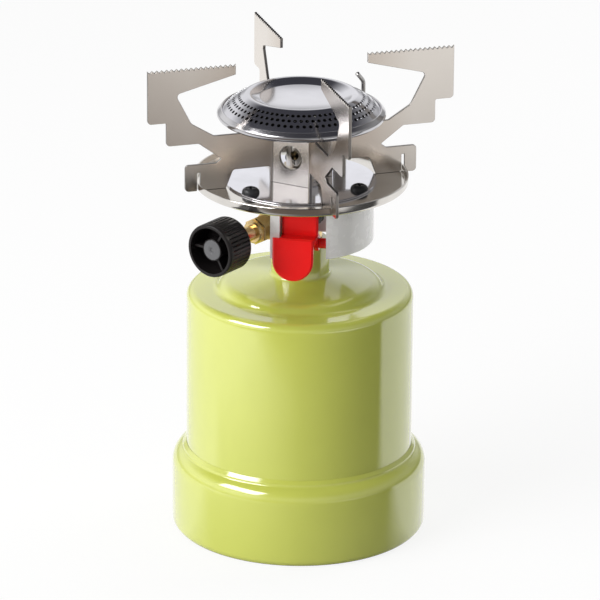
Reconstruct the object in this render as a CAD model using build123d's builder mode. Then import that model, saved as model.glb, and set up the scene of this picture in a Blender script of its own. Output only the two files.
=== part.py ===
"""Portable single-burner gas stove that stands on its own pierceable-cartridge housing.

Millimetres, +Z up. The origin is the centre of the foot on the table, and the four pot-support arms
point along +X, +Y, -X and -Y. Names that end in _z are heights above the table.
"""
import os
from math import acos, asin, cos, degrees, radians, sin, tan

from build123d import *

os.makedirs("parts", exist_ok=True)

# Lime steel shells: the foot cup and the housing that screws into it
sheet = 1.0                    # painted steel of both shells
housing_radius = 46.7
foot_radius = housing_radius + 5.8
foot_edge = 2.5                # rounding where the foot meets the table
foot_shoulder = 6.5            # rounding of the foot's upper edge, on the middle of the sheet
foot_throat = 2.0              # hollow curve from that edge into the lip
foot_lip = 0.8                 # straight lip that hugs the housing
foot_height = 35.6
screw_gap = 0.3                # running gap between the lip and the housing
skirt_z = 5.0                  # lower end of the housing inside the foot
shoulder_z = 103.4
shoulder_edge = 3.0
dome_radius = housing_radius - 9.7  # where the flat shoulder turns up into the dome
dome_slope = 22.0
dome_turn = 52.0
dome_foot_bend = 4.0
dome_crest_bend = 6.5
neck_radius = 12.0
neck_top_z = shoulder_z + 22.1
neck_fillet = 4.0
neck_edge = 2.0

# Gas cartridge of the pierceable kind
can_radius = housing_radius - 1.7
can_height = 96.0
can_sheet = 0.6
can_shoulder = 14.0
can_slope = 25.0
can_crown = 6.0
can_floor_rise = 4.0
can_floor_radius = 33.0
can_ring = 4.0                 # width of the foot ring and its inner slope together
pierced_hole = 1.35

# Needle, seal and valve on the stove's axis
needle_radius = 1.2
needle_reach = 3.5             # how far the point stands below the cartridge's top
needle_point = 2.5
needle_head_radius = 2.8
needle_head = 4.0
seal_radius = 7.0
seal_height = 4.0
slip = 0.05                    # radial clearance of turned fits
stem_radius = 5.0
flange_radius = 9.0
flange_height = 3.0
column_radius = 6.0
duct_radius = 1.5
spigot_radius = 4.9
spigot_height = 10.6
jet_radius = 3.0
jet_length = 7.0
jet_tip = 1.6
jet_bore = 0.4
lock_nut_flats = 16.0
lock_nut_height = 4.5

# Control knob and its spindle, on an axis that leans away from the arms
knob_angle = 216.0
knob_z = neck_top_z + 10.7
knob_radius = 11.0
knob_depth = 13.75
knob_face = 61.0               # distance of the knob's front from the stove's axis
knob_wall = 1.5
knob_back = 2.2
knob_edge = 0.8
knob_hub_radius = 4.6
knob_hub_recess = 1.6
knob_rib = 1.0
knob_rib_recess = 2.6
knob_ribs = 3
knob_rib_start = 60.0          # turn of the first rib from the level
grip_grooves = 40
grip_groove = 0.55
grip_margin = 1.6              # plain edge in front of the grooves
cap_disc_radius = 4.2
cap_disc_height = 1.0
cap_dimple = 0.9
boss_radius = 5.6
boss_reach = 23.0
gland_flats = 10.0
gland_length = 8.0
gland_collar_radius = 4.6
gland_collar = 2.0
packing_length = 2.4
packing_radius = 4.4
spindle_radius = 3.0
spindle_seat = 5.0             # distance of the valve seat from the stove's axis
spindle_cone = 2.4
spindle_end_radius = 2.5
seat_hole = 0.8

# Igniter housing, screwed up under the drip tray
igniter_radius = 30.0
igniter_wall = 2.0
igniter_bottom_z = neck_top_z
deck = 2.4                     # top disc of the housing
deck_radius = igniter_radius + 1.0
pilot_radius = igniter_radius - 0.8  # raised centre that locates the tray
pilot_gap = 0.3
valve_cut = 6.1                # the housing is cut away this far beside the knob axis
lever_angle = 242.0            # the way the lever faces
recess_left = -3.0             # recess walls, measured across that direction
recess_right = 15.4
recess_in = 13.0               # distance of the inner ends of those walls from the axis
cheek = 4.0                    # left wall
recess_wall = 2.0              # right wall
recess_back = 1.2              # wall behind the lever, which hides the piezo unit
recess_back_height = 11.0
clip_margins = (5.0, 4.0)      # clips under the deck, from the piezo unit's front and back
clip_length = 2.4
clip_wall = 1.2
clip_wrap = 1.5                # how far the clips reach below the unit's middle

# Red lever and the piezo unit behind it
lever_plate_inner = igniter_radius - 5.5
lever_plate = 2.5
lever_left = -2.6
lever_right = 12.2
lever_top_z = neck_top_z + 19.8
pivot_out = igniter_radius - 7.0
pivot_z = neck_top_z + 6.0
peg_radius = 2.1
peg_slip = 0.06
lever_ear = 2.0
ear_ring = 1.2
tongue_width = 16.8
tongue_centre = 3.0
tongue_front = igniter_radius + 2.6
tongue_plate = 2.2
tongue_top_z = neck_top_z + 10.1
tongue_bottom_z = neck_top_z - 7.7
tongue_lean = 5.0
tongue_relief = 1.0            # cut from the tongue's back, where it swings towards the left wall
relief_foot = 0.8              # height above the pivot where that cut begins
piezo_offset = 11.0
piezo_z = neck_top_z + 15.9
piezo_radius = 4.2
piezo_front = igniter_radius - 11.0
piezo_length = 2 * igniter_radius - 27.0  # leaves room for the terminal behind it
plunger_radius = 2.0
plunger_gap = 0.15
plunger_room = 0.25            # radial clearance where the plunger passes the wall
plunger_inside = 8.0
piezo_stroke = 4.0
terminal_radius = 1.6

# Drip tray, heat shield and its screws
tray_sheet = 0.8
tray_floor_z = neck_top_z + 24.1  # upper face of the tray's floor
tray_radius = 44.0
tray_wall_z = tray_floor_z + 3.0
tray_bend = 1.2
tray_seat = pilot_radius + pilot_gap  # hole over the housing's pilot
shield_radius = deck_radius
shield_sheet = 0.8
screw_circle = igniter_radius - 3.0
screw_angles = (79.0, 204.0, 314.0)
screw_head_radius = 3.6
screw_head = 2.2
screw_head_taper = 20.0
screw_radius = 1.5
screw_length = 4.0
screw_slot = 0.9

# Pot supports: two bent strips, each with two arms and a face of the centre box
strip = 1.2
front_face_angle = 225.0
rear_face_angle = 45.0
box_half = 8.5                 # distance of a box face from the axis, and half of its width
tab = 1.0
tab_half_width = 7.0
face_hole_radius = 5.1
face_hole_z = tray_floor_z + 12.4
arm_reach = 65.0
arm_tip = 28.0
arm_top_z = tray_floor_z + 52.4
bar_tip = 4.3
bar_root_out = 53.2
bar_root_z = tray_floor_z + 41.6
throat_out = 46.6
throat_z = tray_floor_z + 28.7
saddle_out = 37.1
saddle_z = tray_floor_z + 22.8
shelf_z = tray_floor_z + 29.9
shelf_out = 57.2
brow_z = tray_floor_z + 20.0
brow_in = 43.6
notch_out = 34.0
notch_z = tray_floor_z + 12.8
ear_top_z = tray_floor_z + 11.1
ear_root_out = 36.3
ear_out = 49.3
ear_bottom_z = tray_floor_z - 0.2
slit_gap = 0.25
slit_top_z = tray_floor_z + 7.5
foot_in = deck_radius + 1.0
arch_out = foot_in - 3.0
arch_z = tray_floor_z + 7.6
arch_step = 1.4                # distance of the arch's inner corner from the bend
arm_corner = 1.6
throat_corner = 3.2
soft_corner = 0.8
fine_corner = 0.4
slit_corner = 0.25
teeth = 18
tooth = 0.8

# Burner
tube_radius = 6.0
tube_wall = 1.0
tube_top_z = tray_floor_z + 27.0
collar_flats = 14.0
collar_turn = 15.0             # turns two flats of the collar to the box faces
collar_height = 4.0
air_hole_radius = 2.0
cap_sheet = 0.8                # pressed cap: dished floor, crest and a flank with the flame holes
cap_floor_z = tray_floor_z + 35.4  # middle of the cap's sheet
cap_floor_radius = 16.4
cap_dish_bend = 3.0
cap_dish_slope = 24.0
cap_crest_radius = 21.7
cap_crest_bend = 3.0
flank_slope = 26.0             # slope at the flank's top
flank_turn = 20.0              # how much steeper it is at its foot
flank_bend = 32.0
cap_edge_radius = 32.9
flame_rows = (29.5, 27.4, 25.2)
flame_holes = 72
flame_hole_radius = 0.75
bowl_sheet = 0.8
crimp_reach = 1.4              # how far the bowl's lip lies over the cap's edge
crimp_room = 0.3               # space in the fold beyond that edge
crimp_bend = 1.2
bowl_slope = 12.0
bowl_flat_radius = 14.0
bowl_flat_bend = 8.0
bowl_sleeve_bend = 0.9

# Spark electrode beside the burner
electrode_radius = 0.9
electrode_angle = 30.0
electrode_foot = igniter_radius - 6.7  # distance of the upright wire from the axis
electrode_foot_z = tray_floor_z - 10.2
insulator_radius = 2.7
insulator_bottom_z = tray_floor_z - 4.6
insulator_top_z = tray_floor_z + 14.4
electrode_rise_z = tray_floor_z + 17.4
electrode_reach = cap_edge_radius + 4.5
electrode_knee_z = tray_floor_z + 26.4
electrode_bend_z = tray_floor_z + 33.9
electrode_tip_in = cap_edge_radius + 0.7
electrode_tip_z = tray_floor_z + 38.0
electrode_bend = 3.0

# Heights and places that follow from the sizes above
can_bottom_z = sheet + screw_gap
can_top_z = can_bottom_z + can_height
stem_bottom_z = can_top_z + seal_height
deck_z = tray_floor_z - tray_sheet - deck
shield_z = tray_floor_z + shield_sheet
collar_z = shield_z + 2 * tab
spigot_top_z = deck_z + spigot_height


def along(angle, distance):
    """Point in plan at a distance from the axis."""
    return Vector(cos(radians(angle)), sin(radians(angle)), 0) * distance


def side_plane(angle, offset=0.0):
    """Upright plane through the axis: local x runs out along the angle, local y is up."""
    out = along(angle, 1)
    across = along(angle + 90, offset)
    return Plane(origin=across, x_dir=out, z_dir=out.cross(Vector(0, 0, 1)))


def lever_spot(out, across):
    """Point in plan in front of the lever: out along the way it faces, and across it."""
    return along(lever_angle, out) + along(lever_angle + 90, across)


def facing_plane(angle, distance, height=0.0):
    """Upright plane square to a direction: local y is up and its normal points outwards."""
    out = along(angle, 1)
    across = along(angle + 90, 1)
    return Plane(origin=out * distance + Vector(0, 0, height), x_dir=across, z_dir=out)


# The foot cup: floor, wall, rounded shoulder and a lip round the housing
foot_wall = foot_radius - sheet / 2
lip_middle = housing_radius + screw_gap + sheet / 2
foot_sweep = degrees(acos(1 - (foot_wall - lip_middle) / (foot_shoulder + foot_throat)))
foot_curve_z = foot_height - foot_lip - (foot_shoulder + foot_throat) * sin(radians(foot_sweep))
with BuildPart() as base_cup:
    with BuildSketch(Plane.XZ):
        with BuildLine():
            floor_line = Line((0, sheet / 2), (foot_wall - foot_edge, sheet / 2))
            edge_arc = JernArc(floor_line @ 1, floor_line % 1, foot_edge, 90)
            wall_line = Line(edge_arc @ 1, (foot_wall, foot_curve_z))
            shoulder_arc = JernArc(wall_line @ 1, wall_line % 1, foot_shoulder, foot_sweep)
            throat_arc = JernArc(shoulder_arc @ 1, shoulder_arc % 1, foot_throat, -foot_sweep)
            Line(throat_arc @ 1, (lip_middle, foot_height))
        trace(line_width=sheet)
    revolve(axis=Axis.Z)
base_cup.part.label = "base_cup"
export_step(base_cup.part, "parts/base_cup.step")

# The housing: skirt, shoulder, dome and the neck that carries the valve
skin = housing_radius - sheet / 2
neck_skin = neck_radius - sheet / 2
neck_start = neck_skin + neck_fillet * (1 - sin(radians(dome_slope)))
with BuildPart() as cartridge_housing:
    with BuildSketch(Plane.XZ):
        with BuildLine():
            skirt_line = Line((skin, skirt_z), (skin, shoulder_z - sheet / 2 - shoulder_edge))
            edge_arc = JernArc(skirt_line @ 1, skirt_line % 1, shoulder_edge, 90)
            flat_line = Line(edge_arc @ 1, (dome_radius, shoulder_z - sheet / 2))
            rise_arc = JernArc(flat_line @ 1, flat_line % 1, dome_foot_bend, -dome_turn)
            crest_arc = JernArc(rise_arc @ 1, rise_arc % 1, dome_crest_bend, dome_turn - dome_slope)
            dome_run = (crest_arc @ 1).X - neck_start
            dome_top = crest_arc @ 1 + Vector(-1, tan(radians(dome_slope))) * dome_run
            dome_line = Line(crest_arc @ 1, dome_top)
            neck_arc = JernArc(dome_line @ 1, dome_line % 1, neck_fillet, dome_slope - 90)
            neck_line = Line(neck_arc @ 1, (neck_skin, neck_top_z - sheet / 2 - neck_edge))
            top_arc = JernArc(neck_line @ 1, neck_line % 1, neck_edge, 90)
            Line(top_arc @ 1, (stem_radius + slip, neck_top_z - sheet / 2))
        trace(line_width=sheet)
    revolve(axis=Axis.Z)
cartridge_housing.part.label = "cartridge_housing"
export_step(cartridge_housing.part, "parts/cartridge_housing.step")

# The cartridge: raised floor, foot ring, wall, sloped shoulder and a flat crown with the pierced hole
can_skin = can_radius - can_sheet / 2
can_crown_z = can_top_z - can_sheet / 2
shoulder_run = can_shoulder * (1 - sin(radians(can_slope)))
crown_run = can_crown * sin(radians(can_slope))
crown_start = needle_head_radius + crown_run
slope_run = can_skin - shoulder_run - crown_start
can_wall_top_z = (
    can_crown_z
    - can_crown * (1 - cos(radians(can_slope)))
    - slope_run * tan(radians(can_slope))
    - can_shoulder * cos(radians(can_slope))
)
with BuildPart() as gas_cartridge:
    with BuildSketch(Plane.XZ):
        with BuildLine():
            ring_z = can_bottom_z + can_sheet / 2
            floor_z = ring_z + can_floor_rise
            floor_line = Line((0, floor_z), (can_floor_radius, floor_z))
            cone_line = Line(floor_line @ 1, (can_skin - can_ring, ring_z))
            ring_line = Line(cone_line @ 1, (can_skin - can_sheet, ring_z))
            wall_foot = Line(ring_line @ 1, (can_skin, ring_z + can_sheet))
            wall_line = Line(wall_foot @ 1, (can_skin, can_wall_top_z))
            shoulder_arc = JernArc(wall_line @ 1, wall_line % 1, can_shoulder, 90 - can_slope)
            slope_line = Line(
                shoulder_arc @ 1,
                shoulder_arc @ 1 + Vector(-1, tan(radians(can_slope))) * slope_run,
            )
            crown_arc = JernArc(slope_line @ 1, slope_line % 1, can_crown, can_slope)
            Line(crown_arc @ 1, (pierced_hole, can_crown_z))
        trace(line_width=can_sheet)
    revolve(axis=Axis.Z)
gas_cartridge.part.label = "gas_cartridge"
export_step(gas_cartridge.part, "parts/gas_cartridge.step")

# Rubber washer that the cartridge is pressed against
with BuildPart() as cartridge_seal:
    with BuildSketch(Plane.XY.offset(can_top_z)):
        Circle(seal_radius)
        Circle(needle_radius + slip, mode=Mode.SUBTRACT)
    extrude(amount=seal_height)
cartridge_seal.part.label = "cartridge_seal"
export_step(cartridge_seal.part, "parts/cartridge_seal.step")

# Hollow needle with a head that sits in the valve stem
needle_tip_z = can_top_z - needle_reach
needle_head_z = stem_bottom_z + needle_head
with BuildPart() as piercing_needle:
    with BuildSketch(Plane.XZ):
        with BuildLine():
            Polyline(
                (0, needle_tip_z),
                (needle_radius, needle_tip_z + needle_point),
                (needle_radius, stem_bottom_z),
                (needle_head_radius, stem_bottom_z),
                (needle_head_radius, needle_head_z),
                (0, needle_head_z),
                close=True,
            )
        make_face()
    revolve(axis=Axis.Z)
    with Locations((0, 0, needle_head_z)):
        Hole(needle_radius / 2, depth=needle_head + seal_height + needle_reach / 2)
piercing_needle.part.label = "piercing_needle"
export_step(piercing_needle.part, "parts/piercing_needle.step")

# Brass valve body: stem, flange on the neck, column, spigot for the jet and the boss for the spindle
knob_plane = facing_plane(knob_angle, 0, knob_z)
with BuildPart() as valve_body:
    with BuildSketch(Plane.XZ):
        with BuildLine():
            Polyline(
                (0, stem_bottom_z),
                (stem_radius, stem_bottom_z),
                (stem_radius, neck_top_z),
                (flange_radius, neck_top_z),
                (flange_radius, neck_top_z + flange_height),
                (column_radius, neck_top_z + flange_height),
                (column_radius, deck_z),
                (spigot_radius, deck_z),
                (spigot_radius, spigot_top_z),
                (0, spigot_top_z),
                close=True,
            )
        make_face()
    revolve(axis=Axis.Z)
    with BuildSketch(knob_plane):
        Circle(boss_radius)
    extrude(amount=boss_reach)
    with BuildSketch(knob_plane.offset(spindle_seat)):
        Circle(spindle_radius + slip)
    extrude(amount=boss_reach, mode=Mode.SUBTRACT)
    with BuildSketch(knob_plane):
        Circle(seat_hole)
    extrude(amount=spindle_seat, mode=Mode.SUBTRACT)
    with Locations((0, 0, spigot_top_z)):
        Hole(duct_radius, depth=spigot_top_z - knob_z)
        Hole(jet_radius + slip, depth=jet_length)
    with BuildSketch(Plane.XY.offset(stem_bottom_z)):
        Circle(needle_head_radius + slip)
    extrude(amount=needle_head, mode=Mode.SUBTRACT)
    with BuildSketch(Plane.XY.offset(stem_bottom_z)):
        Circle(duct_radius)
    extrude(amount=knob_z - spindle_seat - stem_bottom_z, mode=Mode.SUBTRACT)
valve_body.part.label = "valve_body"
export_step(valve_body.part, "parts/valve_body.step")

# Nut that clamps the valve into the neck from inside
with BuildPart() as lock_nut:
    with BuildSketch(Plane.XY.offset(neck_top_z - sheet)):
        RegularPolygon(lock_nut_flats / 2, 6, major_radius=False)
        Circle(stem_radius + slip, mode=Mode.SUBTRACT)
    extrude(amount=-lock_nut_height)
lock_nut.part.label = "lock_nut"
export_step(lock_nut.part, "parts/lock_nut.step")

# Gland nut, packing ring and spindle along the knob axis
gland_plane = knob_plane.offset(boss_reach)
with BuildPart() as gland_nut:
    with BuildSketch(gland_plane):
        RegularPolygon(gland_flats / 2, 6, major_radius=False)
    extrude(amount=gland_length)
    with BuildSketch(gland_plane.offset(gland_length)):
        Circle(gland_collar_radius)
    extrude(amount=gland_collar)
    with BuildSketch(gland_plane):
        Circle(spindle_radius + slip)
    extrude(amount=gland_length + gland_collar, mode=Mode.SUBTRACT)
    with BuildSketch(gland_plane):
        Circle(packing_radius + slip)
    extrude(amount=packing_length, mode=Mode.SUBTRACT)
gland_nut.part.label = "gland_nut"
export_step(gland_nut.part, "parts/gland_nut.step")

with BuildPart() as packing_ring:
    with BuildSketch(gland_plane):
        Circle(packing_radius)
        Circle(spindle_radius + slip, mode=Mode.SUBTRACT)
    extrude(amount=packing_length)
packing_ring.part.label = "packing_ring"
export_step(packing_ring.part, "parts/packing_ring.step")

knob_back_out = knob_face - knob_depth
hub_front = knob_face - knob_hub_recess
spindle_end = hub_front - cap_disc_height - knob_rib
with BuildPart() as valve_spindle:
    with BuildSketch(side_plane(knob_angle)):
        with BuildLine():
            Polyline(
                (spindle_seat + slip, knob_z),
                (spindle_seat + spindle_cone, knob_z + spindle_radius),
                (knob_back_out, knob_z + spindle_radius),
                (knob_back_out, knob_z + spindle_end_radius),
                (spindle_end, knob_z + spindle_end_radius),
                (spindle_end, knob_z),
                close=True,
            )
        make_face()
    revolve(axis=Axis((0, 0, knob_z), along(knob_angle, 1)))
valve_spindle.part.label = "valve_spindle"
export_step(valve_spindle.part, "parts/valve_spindle.step")

# Knob: a cup open to the front with a hub, three ribs and a grooved grip
knob_base = knob_plane.offset(knob_back_out)
with BuildPart() as control_knob:
    with BuildSketch(knob_base):
        Circle(knob_radius)
    extrude(amount=knob_depth)
    fillet(control_knob.edges().filter_by(GeomType.CIRCLE), knob_edge)
    with BuildSketch(knob_base.offset(knob_back)):
        Circle(knob_radius - knob_wall)
        Circle(knob_hub_radius, mode=Mode.SUBTRACT)
    extrude(amount=knob_depth, mode=Mode.SUBTRACT)
    with BuildSketch(knob_base.offset(knob_depth - knob_hub_recess)):
        Circle(knob_hub_radius)
    extrude(amount=knob_hub_recess, mode=Mode.SUBTRACT)
    with BuildSketch(knob_base.offset(knob_back)):
        rib_length = knob_radius - knob_wall / 2 - knob_hub_radius / 2
        with PolarLocations(knob_hub_radius / 2 + rib_length / 2, knob_ribs, start_angle=knob_rib_start):
            Rectangle(rib_length, knob_rib)
        Circle(knob_hub_radius, mode=Mode.SUBTRACT)
    extrude(amount=knob_depth - knob_back - knob_rib_recess)
    with BuildSketch(knob_base.offset(knob_edge)):
        with PolarLocations(knob_radius, grip_grooves):
            RegularPolygon(grip_groove, 4)
    extrude(amount=knob_depth - knob_edge - grip_margin, mode=Mode.SUBTRACT)
    with BuildSketch(knob_base):
        Circle(spindle_end_radius + slip)
    extrude(amount=spindle_end - knob_back_out, mode=Mode.SUBTRACT)
    with BuildSketch(knob_base.offset(knob_depth - knob_hub_recess)):
        Circle(cap_disc_radius + slip)
    extrude(amount=-cap_disc_height, mode=Mode.SUBTRACT)
control_knob.part.label = "control_knob"
export_step(control_knob.part, "parts/control_knob.step")

# Grey disc pressed into the knob's hub
with BuildPart() as knob_cap:
    with BuildSketch(knob_plane.offset(hub_front)):
        Circle(cap_disc_radius)
    extrude(amount=-cap_disc_height)
    with BuildSketch(knob_plane.offset(hub_front)):
        Circle(cap_dimple)
    extrude(amount=-cap_disc_height / 2, mode=Mode.SUBTRACT)
knob_cap.part.label = "knob_cap"
export_step(knob_cap.part, "parts/knob_cap.step")

# Jet on top of the valve body
with BuildPart() as gas_jet:
    with BuildSketch(Plane.XZ):
        with BuildLine():
            Polyline(
                (jet_bore, spigot_top_z - jet_length),
                (jet_radius, spigot_top_z - jet_length),
                (jet_radius, spigot_top_z),
                (jet_radius - jet_tip, spigot_top_z + jet_tip),
                (jet_bore, spigot_top_z + jet_tip),
                close=True,
            )
        make_face()
    revolve(axis=Axis.Z)
gas_jet.part.label = "gas_jet"
export_step(gas_jet.part, "parts/gas_jet.step")

# Igniter housing: deck under the tray, pilot through it, part of a round skirt, the walls of the
# lever's recess, its back and the clips for the piezo unit
skirt_height = deck_z - igniter_bottom_z
recess_width = recess_right - recess_left
wall_length = igniter_radius - recess_in
wall_middle = (igniter_radius + recess_in) / 2
piezo_axis = Plane(
    origin=lever_spot(0, piezo_offset) + Vector(0, 0, piezo_z),
    x_dir=along(lever_angle + 90, 1),
    z_dir=along(lever_angle, 1),
)
piezo_face = piezo_axis.offset(piezo_front)
recess_back_middle = piezo_front + slip + recess_back / 2
clip_height = deck_z - piezo_z + clip_wrap
clip_places = (piezo_front - clip_margins[0], piezo_front - piezo_length + clip_margins[1])
insulator_at = along(electrode_angle, electrode_foot)
with BuildPart() as igniter_housing:
    with BuildSketch(Plane.XY.offset(igniter_bottom_z)):
        Circle(igniter_radius)
        Circle(igniter_radius - igniter_wall, mode=Mode.SUBTRACT)
        with Locations(lever_spot(wall_middle, recess_left - cheek / 2)):
            Rectangle(wall_length, cheek, rotation=lever_angle)
        with Locations(lever_spot(wall_middle, recess_right + recess_wall / 2)):
            Rectangle(wall_length, recess_wall, rotation=lever_angle)
        with Locations(lever_spot(igniter_radius, recess_left + recess_width / 2)):
            Rectangle(igniter_radius, recess_width, rotation=lever_angle, mode=Mode.SUBTRACT)
        with Locations(along(knob_angle + 90, valve_cut - igniter_radius)):
            Rectangle(3 * igniter_radius, 2 * igniter_radius, rotation=knob_angle, mode=Mode.SUBTRACT)
        Circle(igniter_radius, mode=Mode.INTERSECT)
    extrude(amount=skirt_height)
    with BuildSketch(Plane.XY.offset(deck_z)):
        Circle(deck_radius)
    extrude(amount=deck)
    with BuildSketch(Plane.XY.offset(deck_z + deck)):
        Circle(pilot_radius)
    extrude(amount=tray_sheet)
    with BuildSketch(Plane.XY.offset(tray_floor_z)):
        Circle(spigot_radius + slip)
        with Locations(insulator_at):
            Circle(insulator_radius + slip)
        for angle in screw_angles:
            with Locations(along(angle, screw_circle)):
                Circle(screw_radius + slip)
    extrude(amount=-deck - tray_sheet, mode=Mode.SUBTRACT)
    with BuildSketch(side_plane(lever_angle)):
        with Locations((pivot_out, pivot_z)):
            Circle(peg_radius + peg_slip)
    extrude(amount=igniter_radius, both=True, mode=Mode.SUBTRACT)
    for clip_out in clip_places:
        with BuildSketch(piezo_axis.offset(clip_out)):
            with Locations((0, clip_height / 2 - clip_wrap)):
                Rectangle(2 * (piezo_radius + clip_wall), clip_height)
            Circle(piezo_radius + slip, mode=Mode.SUBTRACT)
        extrude(amount=-clip_length)
    with BuildSketch(Plane.XY.offset(deck_z)):
        with Locations(lever_spot(recess_back_middle, recess_left + recess_width / 2)):
            Rectangle(recess_back, recess_width, rotation=lever_angle)
        with Locations(along(knob_angle + 90, valve_cut - igniter_radius)):
            Rectangle(3 * igniter_radius, 2 * igniter_radius, rotation=knob_angle, mode=Mode.SUBTRACT)
    extrude(amount=-recess_back_height)
    with BuildSketch(piezo_face):
        Circle(plunger_radius + plunger_room)
    extrude(amount=2 * recess_back, mode=Mode.SUBTRACT)
igniter_housing.part.label = "igniter_housing"
export_step(igniter_housing.part, "parts/igniter_housing.step")

# Red lever: plate in the recess, ears with pivot pegs, and the tongue that stands out in front
lever_width = lever_right - lever_left
lever_middle = (lever_left + lever_right) / 2
lever_plate_outer = lever_plate_inner + lever_plate
lever_web_z = pivot_z + lever_ear
tongue_inner = tongue_front - tongue_plate
tongue_end_radius = tongue_width / 2
tongue_straight = tongue_top_z - tongue_bottom_z - tongue_end_radius
tongue_plane = facing_plane(lever_angle, tongue_inner, tongue_top_z).rotated((-tongue_lean, 0, 0))
left_peg = lever_left - recess_left + lever_ear / 2
right_peg = recess_right + recess_wall - lever_right
with BuildPart() as igniter_lever:
    with BuildSketch(facing_plane(lever_angle, lever_plate_inner)):
        with Locations((lever_middle, (lever_web_z + lever_top_z) / 2)):
            Rectangle(lever_width, lever_top_z - lever_web_z)
    extrude(amount=lever_plate)
    upright_edges = igniter_lever.edges().filter_by(Axis.Z)
    fillet(upright_edges.sort_by(Axis((0, 0, 0), along(lever_angle, 1)))[-2:], lever_plate / 2)
    with BuildSketch(facing_plane(lever_angle, lever_plate_inner)):
        with Locations((lever_middle, (lever_web_z + tongue_top_z) / 2)):
            Rectangle(lever_width, tongue_top_z - lever_web_z)
    extrude(amount=tongue_front - tongue_plate / 2 - lever_plate_inner)
    with BuildSketch(tongue_plane):
        with Locations((tongue_centre, -tongue_straight / 2)):
            Rectangle(tongue_width, tongue_straight)
        with Locations((tongue_centre, -tongue_straight)):
            Circle(tongue_end_radius)
    extrude(amount=tongue_plate)
    with BuildSketch(side_plane(lever_angle, lever_left)):
        with BuildLine():
            Polyline(
                (tongue_inner, pivot_z + relief_foot),
                (tongue_inner + tongue_relief, tongue_top_z),
                (tongue_inner + tongue_relief, tongue_top_z + tongue_plate),
                (lever_plate_outer, tongue_top_z + tongue_plate),
                (lever_plate_outer, pivot_z + relief_foot),
                close=True,
            )
        make_face()
    extrude(amount=tongue_width, mode=Mode.SUBTRACT)
    for edge, inward in ((lever_left, -lever_ear), (lever_right, lever_ear)):
        with BuildSketch(side_plane(lever_angle, edge)):
            with Locations((pivot_out, pivot_z)):
                Circle(peg_radius + ear_ring)
            with Locations(((pivot_out + lever_plate_outer) / 2, (pivot_z + tongue_top_z) / 2)):
                Rectangle(lever_plate_outer - pivot_out, tongue_top_z - pivot_z)
        extrude(amount=inward)
    for edge, outward in ((lever_left, left_peg), (lever_right, -right_peg)):
        with BuildSketch(side_plane(lever_angle, edge)):
            with Locations((pivot_out, pivot_z)):
                Circle(peg_radius)
        extrude(amount=outward)
igniter_lever.part.label = "igniter_lever"
export_step(igniter_lever.part, "parts/igniter_lever.step")

# Piezo unit behind the lever: body, plunger and the terminal that meets the electrode
plunger_length = lever_plate_inner - plunger_gap - piezo_front
with BuildPart() as piezo_body:
    with BuildSketch(piezo_face):
        Circle(piezo_radius)
    extrude(amount=-piezo_length)
    with BuildSketch(piezo_face):
        Circle(plunger_radius + slip)
    extrude(amount=-plunger_inside - piezo_stroke, mode=Mode.SUBTRACT)
piezo_body.part.label = "piezo_body"
export_step(piezo_body.part, "parts/piezo_body.step")

with BuildPart() as piezo_plunger:
    with BuildSketch(piezo_face.offset(-plunger_inside)):
        Circle(plunger_radius)
    extrude(amount=plunger_inside + plunger_length)
    tip_edges = piezo_plunger.edges().filter_by(GeomType.CIRCLE)
    fillet(tip_edges.sort_by(Axis((0, 0, 0), along(lever_angle, 1)))[-1], plunger_radius - slip)
piezo_plunger.part.label = "piezo_plunger"
export_step(piezo_plunger.part, "parts/piezo_plunger.step")

wire_back = -electrode_foot * cos(radians(electrode_angle - lever_angle))
with BuildPart() as piezo_terminal:
    with BuildSketch(piezo_face.offset(-piezo_length)):
        Circle(terminal_radius)
    extrude(amount=piezo_length - piezo_front + electrode_radius + slip - wire_back)
piezo_terminal.part.label = "piezo_terminal"
export_step(piezo_terminal.part, "parts/piezo_terminal.step")

# Drip tray
tray_wall = tray_radius - tray_sheet / 2
with BuildPart() as drip_tray:
    with BuildSketch(Plane.XZ):
        with BuildLine():
            tray_middle_z = tray_floor_z - tray_sheet / 2
            floor_line = Line((tray_seat, tray_middle_z), (tray_wall - tray_bend, tray_middle_z))
            bend_arc = JernArc(floor_line @ 1, floor_line % 1, tray_bend, 90)
            Line(bend_arc @ 1, (tray_wall, tray_wall_z))
        trace(line_width=tray_sheet)
    revolve(axis=Axis.Z)
drip_tray.part.label = "drip_tray"
export_step(drip_tray.part, "parts/drip_tray.step")

# Heat shield that clamps the tray, and the three screws through it
with BuildPart() as heat_shield:
    with BuildSketch(Plane.XY.offset(tray_floor_z)):
        Circle(shield_radius)
        Circle(spigot_radius + slip, mode=Mode.SUBTRACT)
        with Locations(insulator_at):
            Circle(insulator_radius + slip, mode=Mode.SUBTRACT)
        for angle in screw_angles:
            with Locations(along(angle, screw_circle)):
                Circle(screw_radius + slip, mode=Mode.SUBTRACT)
    extrude(amount=shield_sheet)
heat_shield.part.label = "heat_shield"
export_step(heat_shield.part, "parts/heat_shield.step")

with BuildPart() as shield_screws:
    for angle in screw_angles:
        with BuildSketch(Plane.XY.offset(shield_z)):
            with Locations(along(angle, screw_circle)):
                Circle(screw_head_radius)
        extrude(amount=screw_head, taper=screw_head_taper)
        with BuildSketch(Plane.XY.offset(shield_z)):
            with Locations(along(angle, screw_circle)):
                Circle(screw_radius)
        extrude(amount=-screw_length)
        with BuildSketch(Plane.XY.offset(shield_z + screw_head)):
            with Locations(along(angle, screw_circle)):
                Rectangle(screw_head_radius, screw_slot)
                Rectangle(screw_slot, screw_head_radius)
        extrude(amount=-screw_head / 2, mode=Mode.SUBTRACT)
shield_screws.part.label = "shield_screws"
export_step(shield_screws.part, "parts/shield_screws.step")

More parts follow.
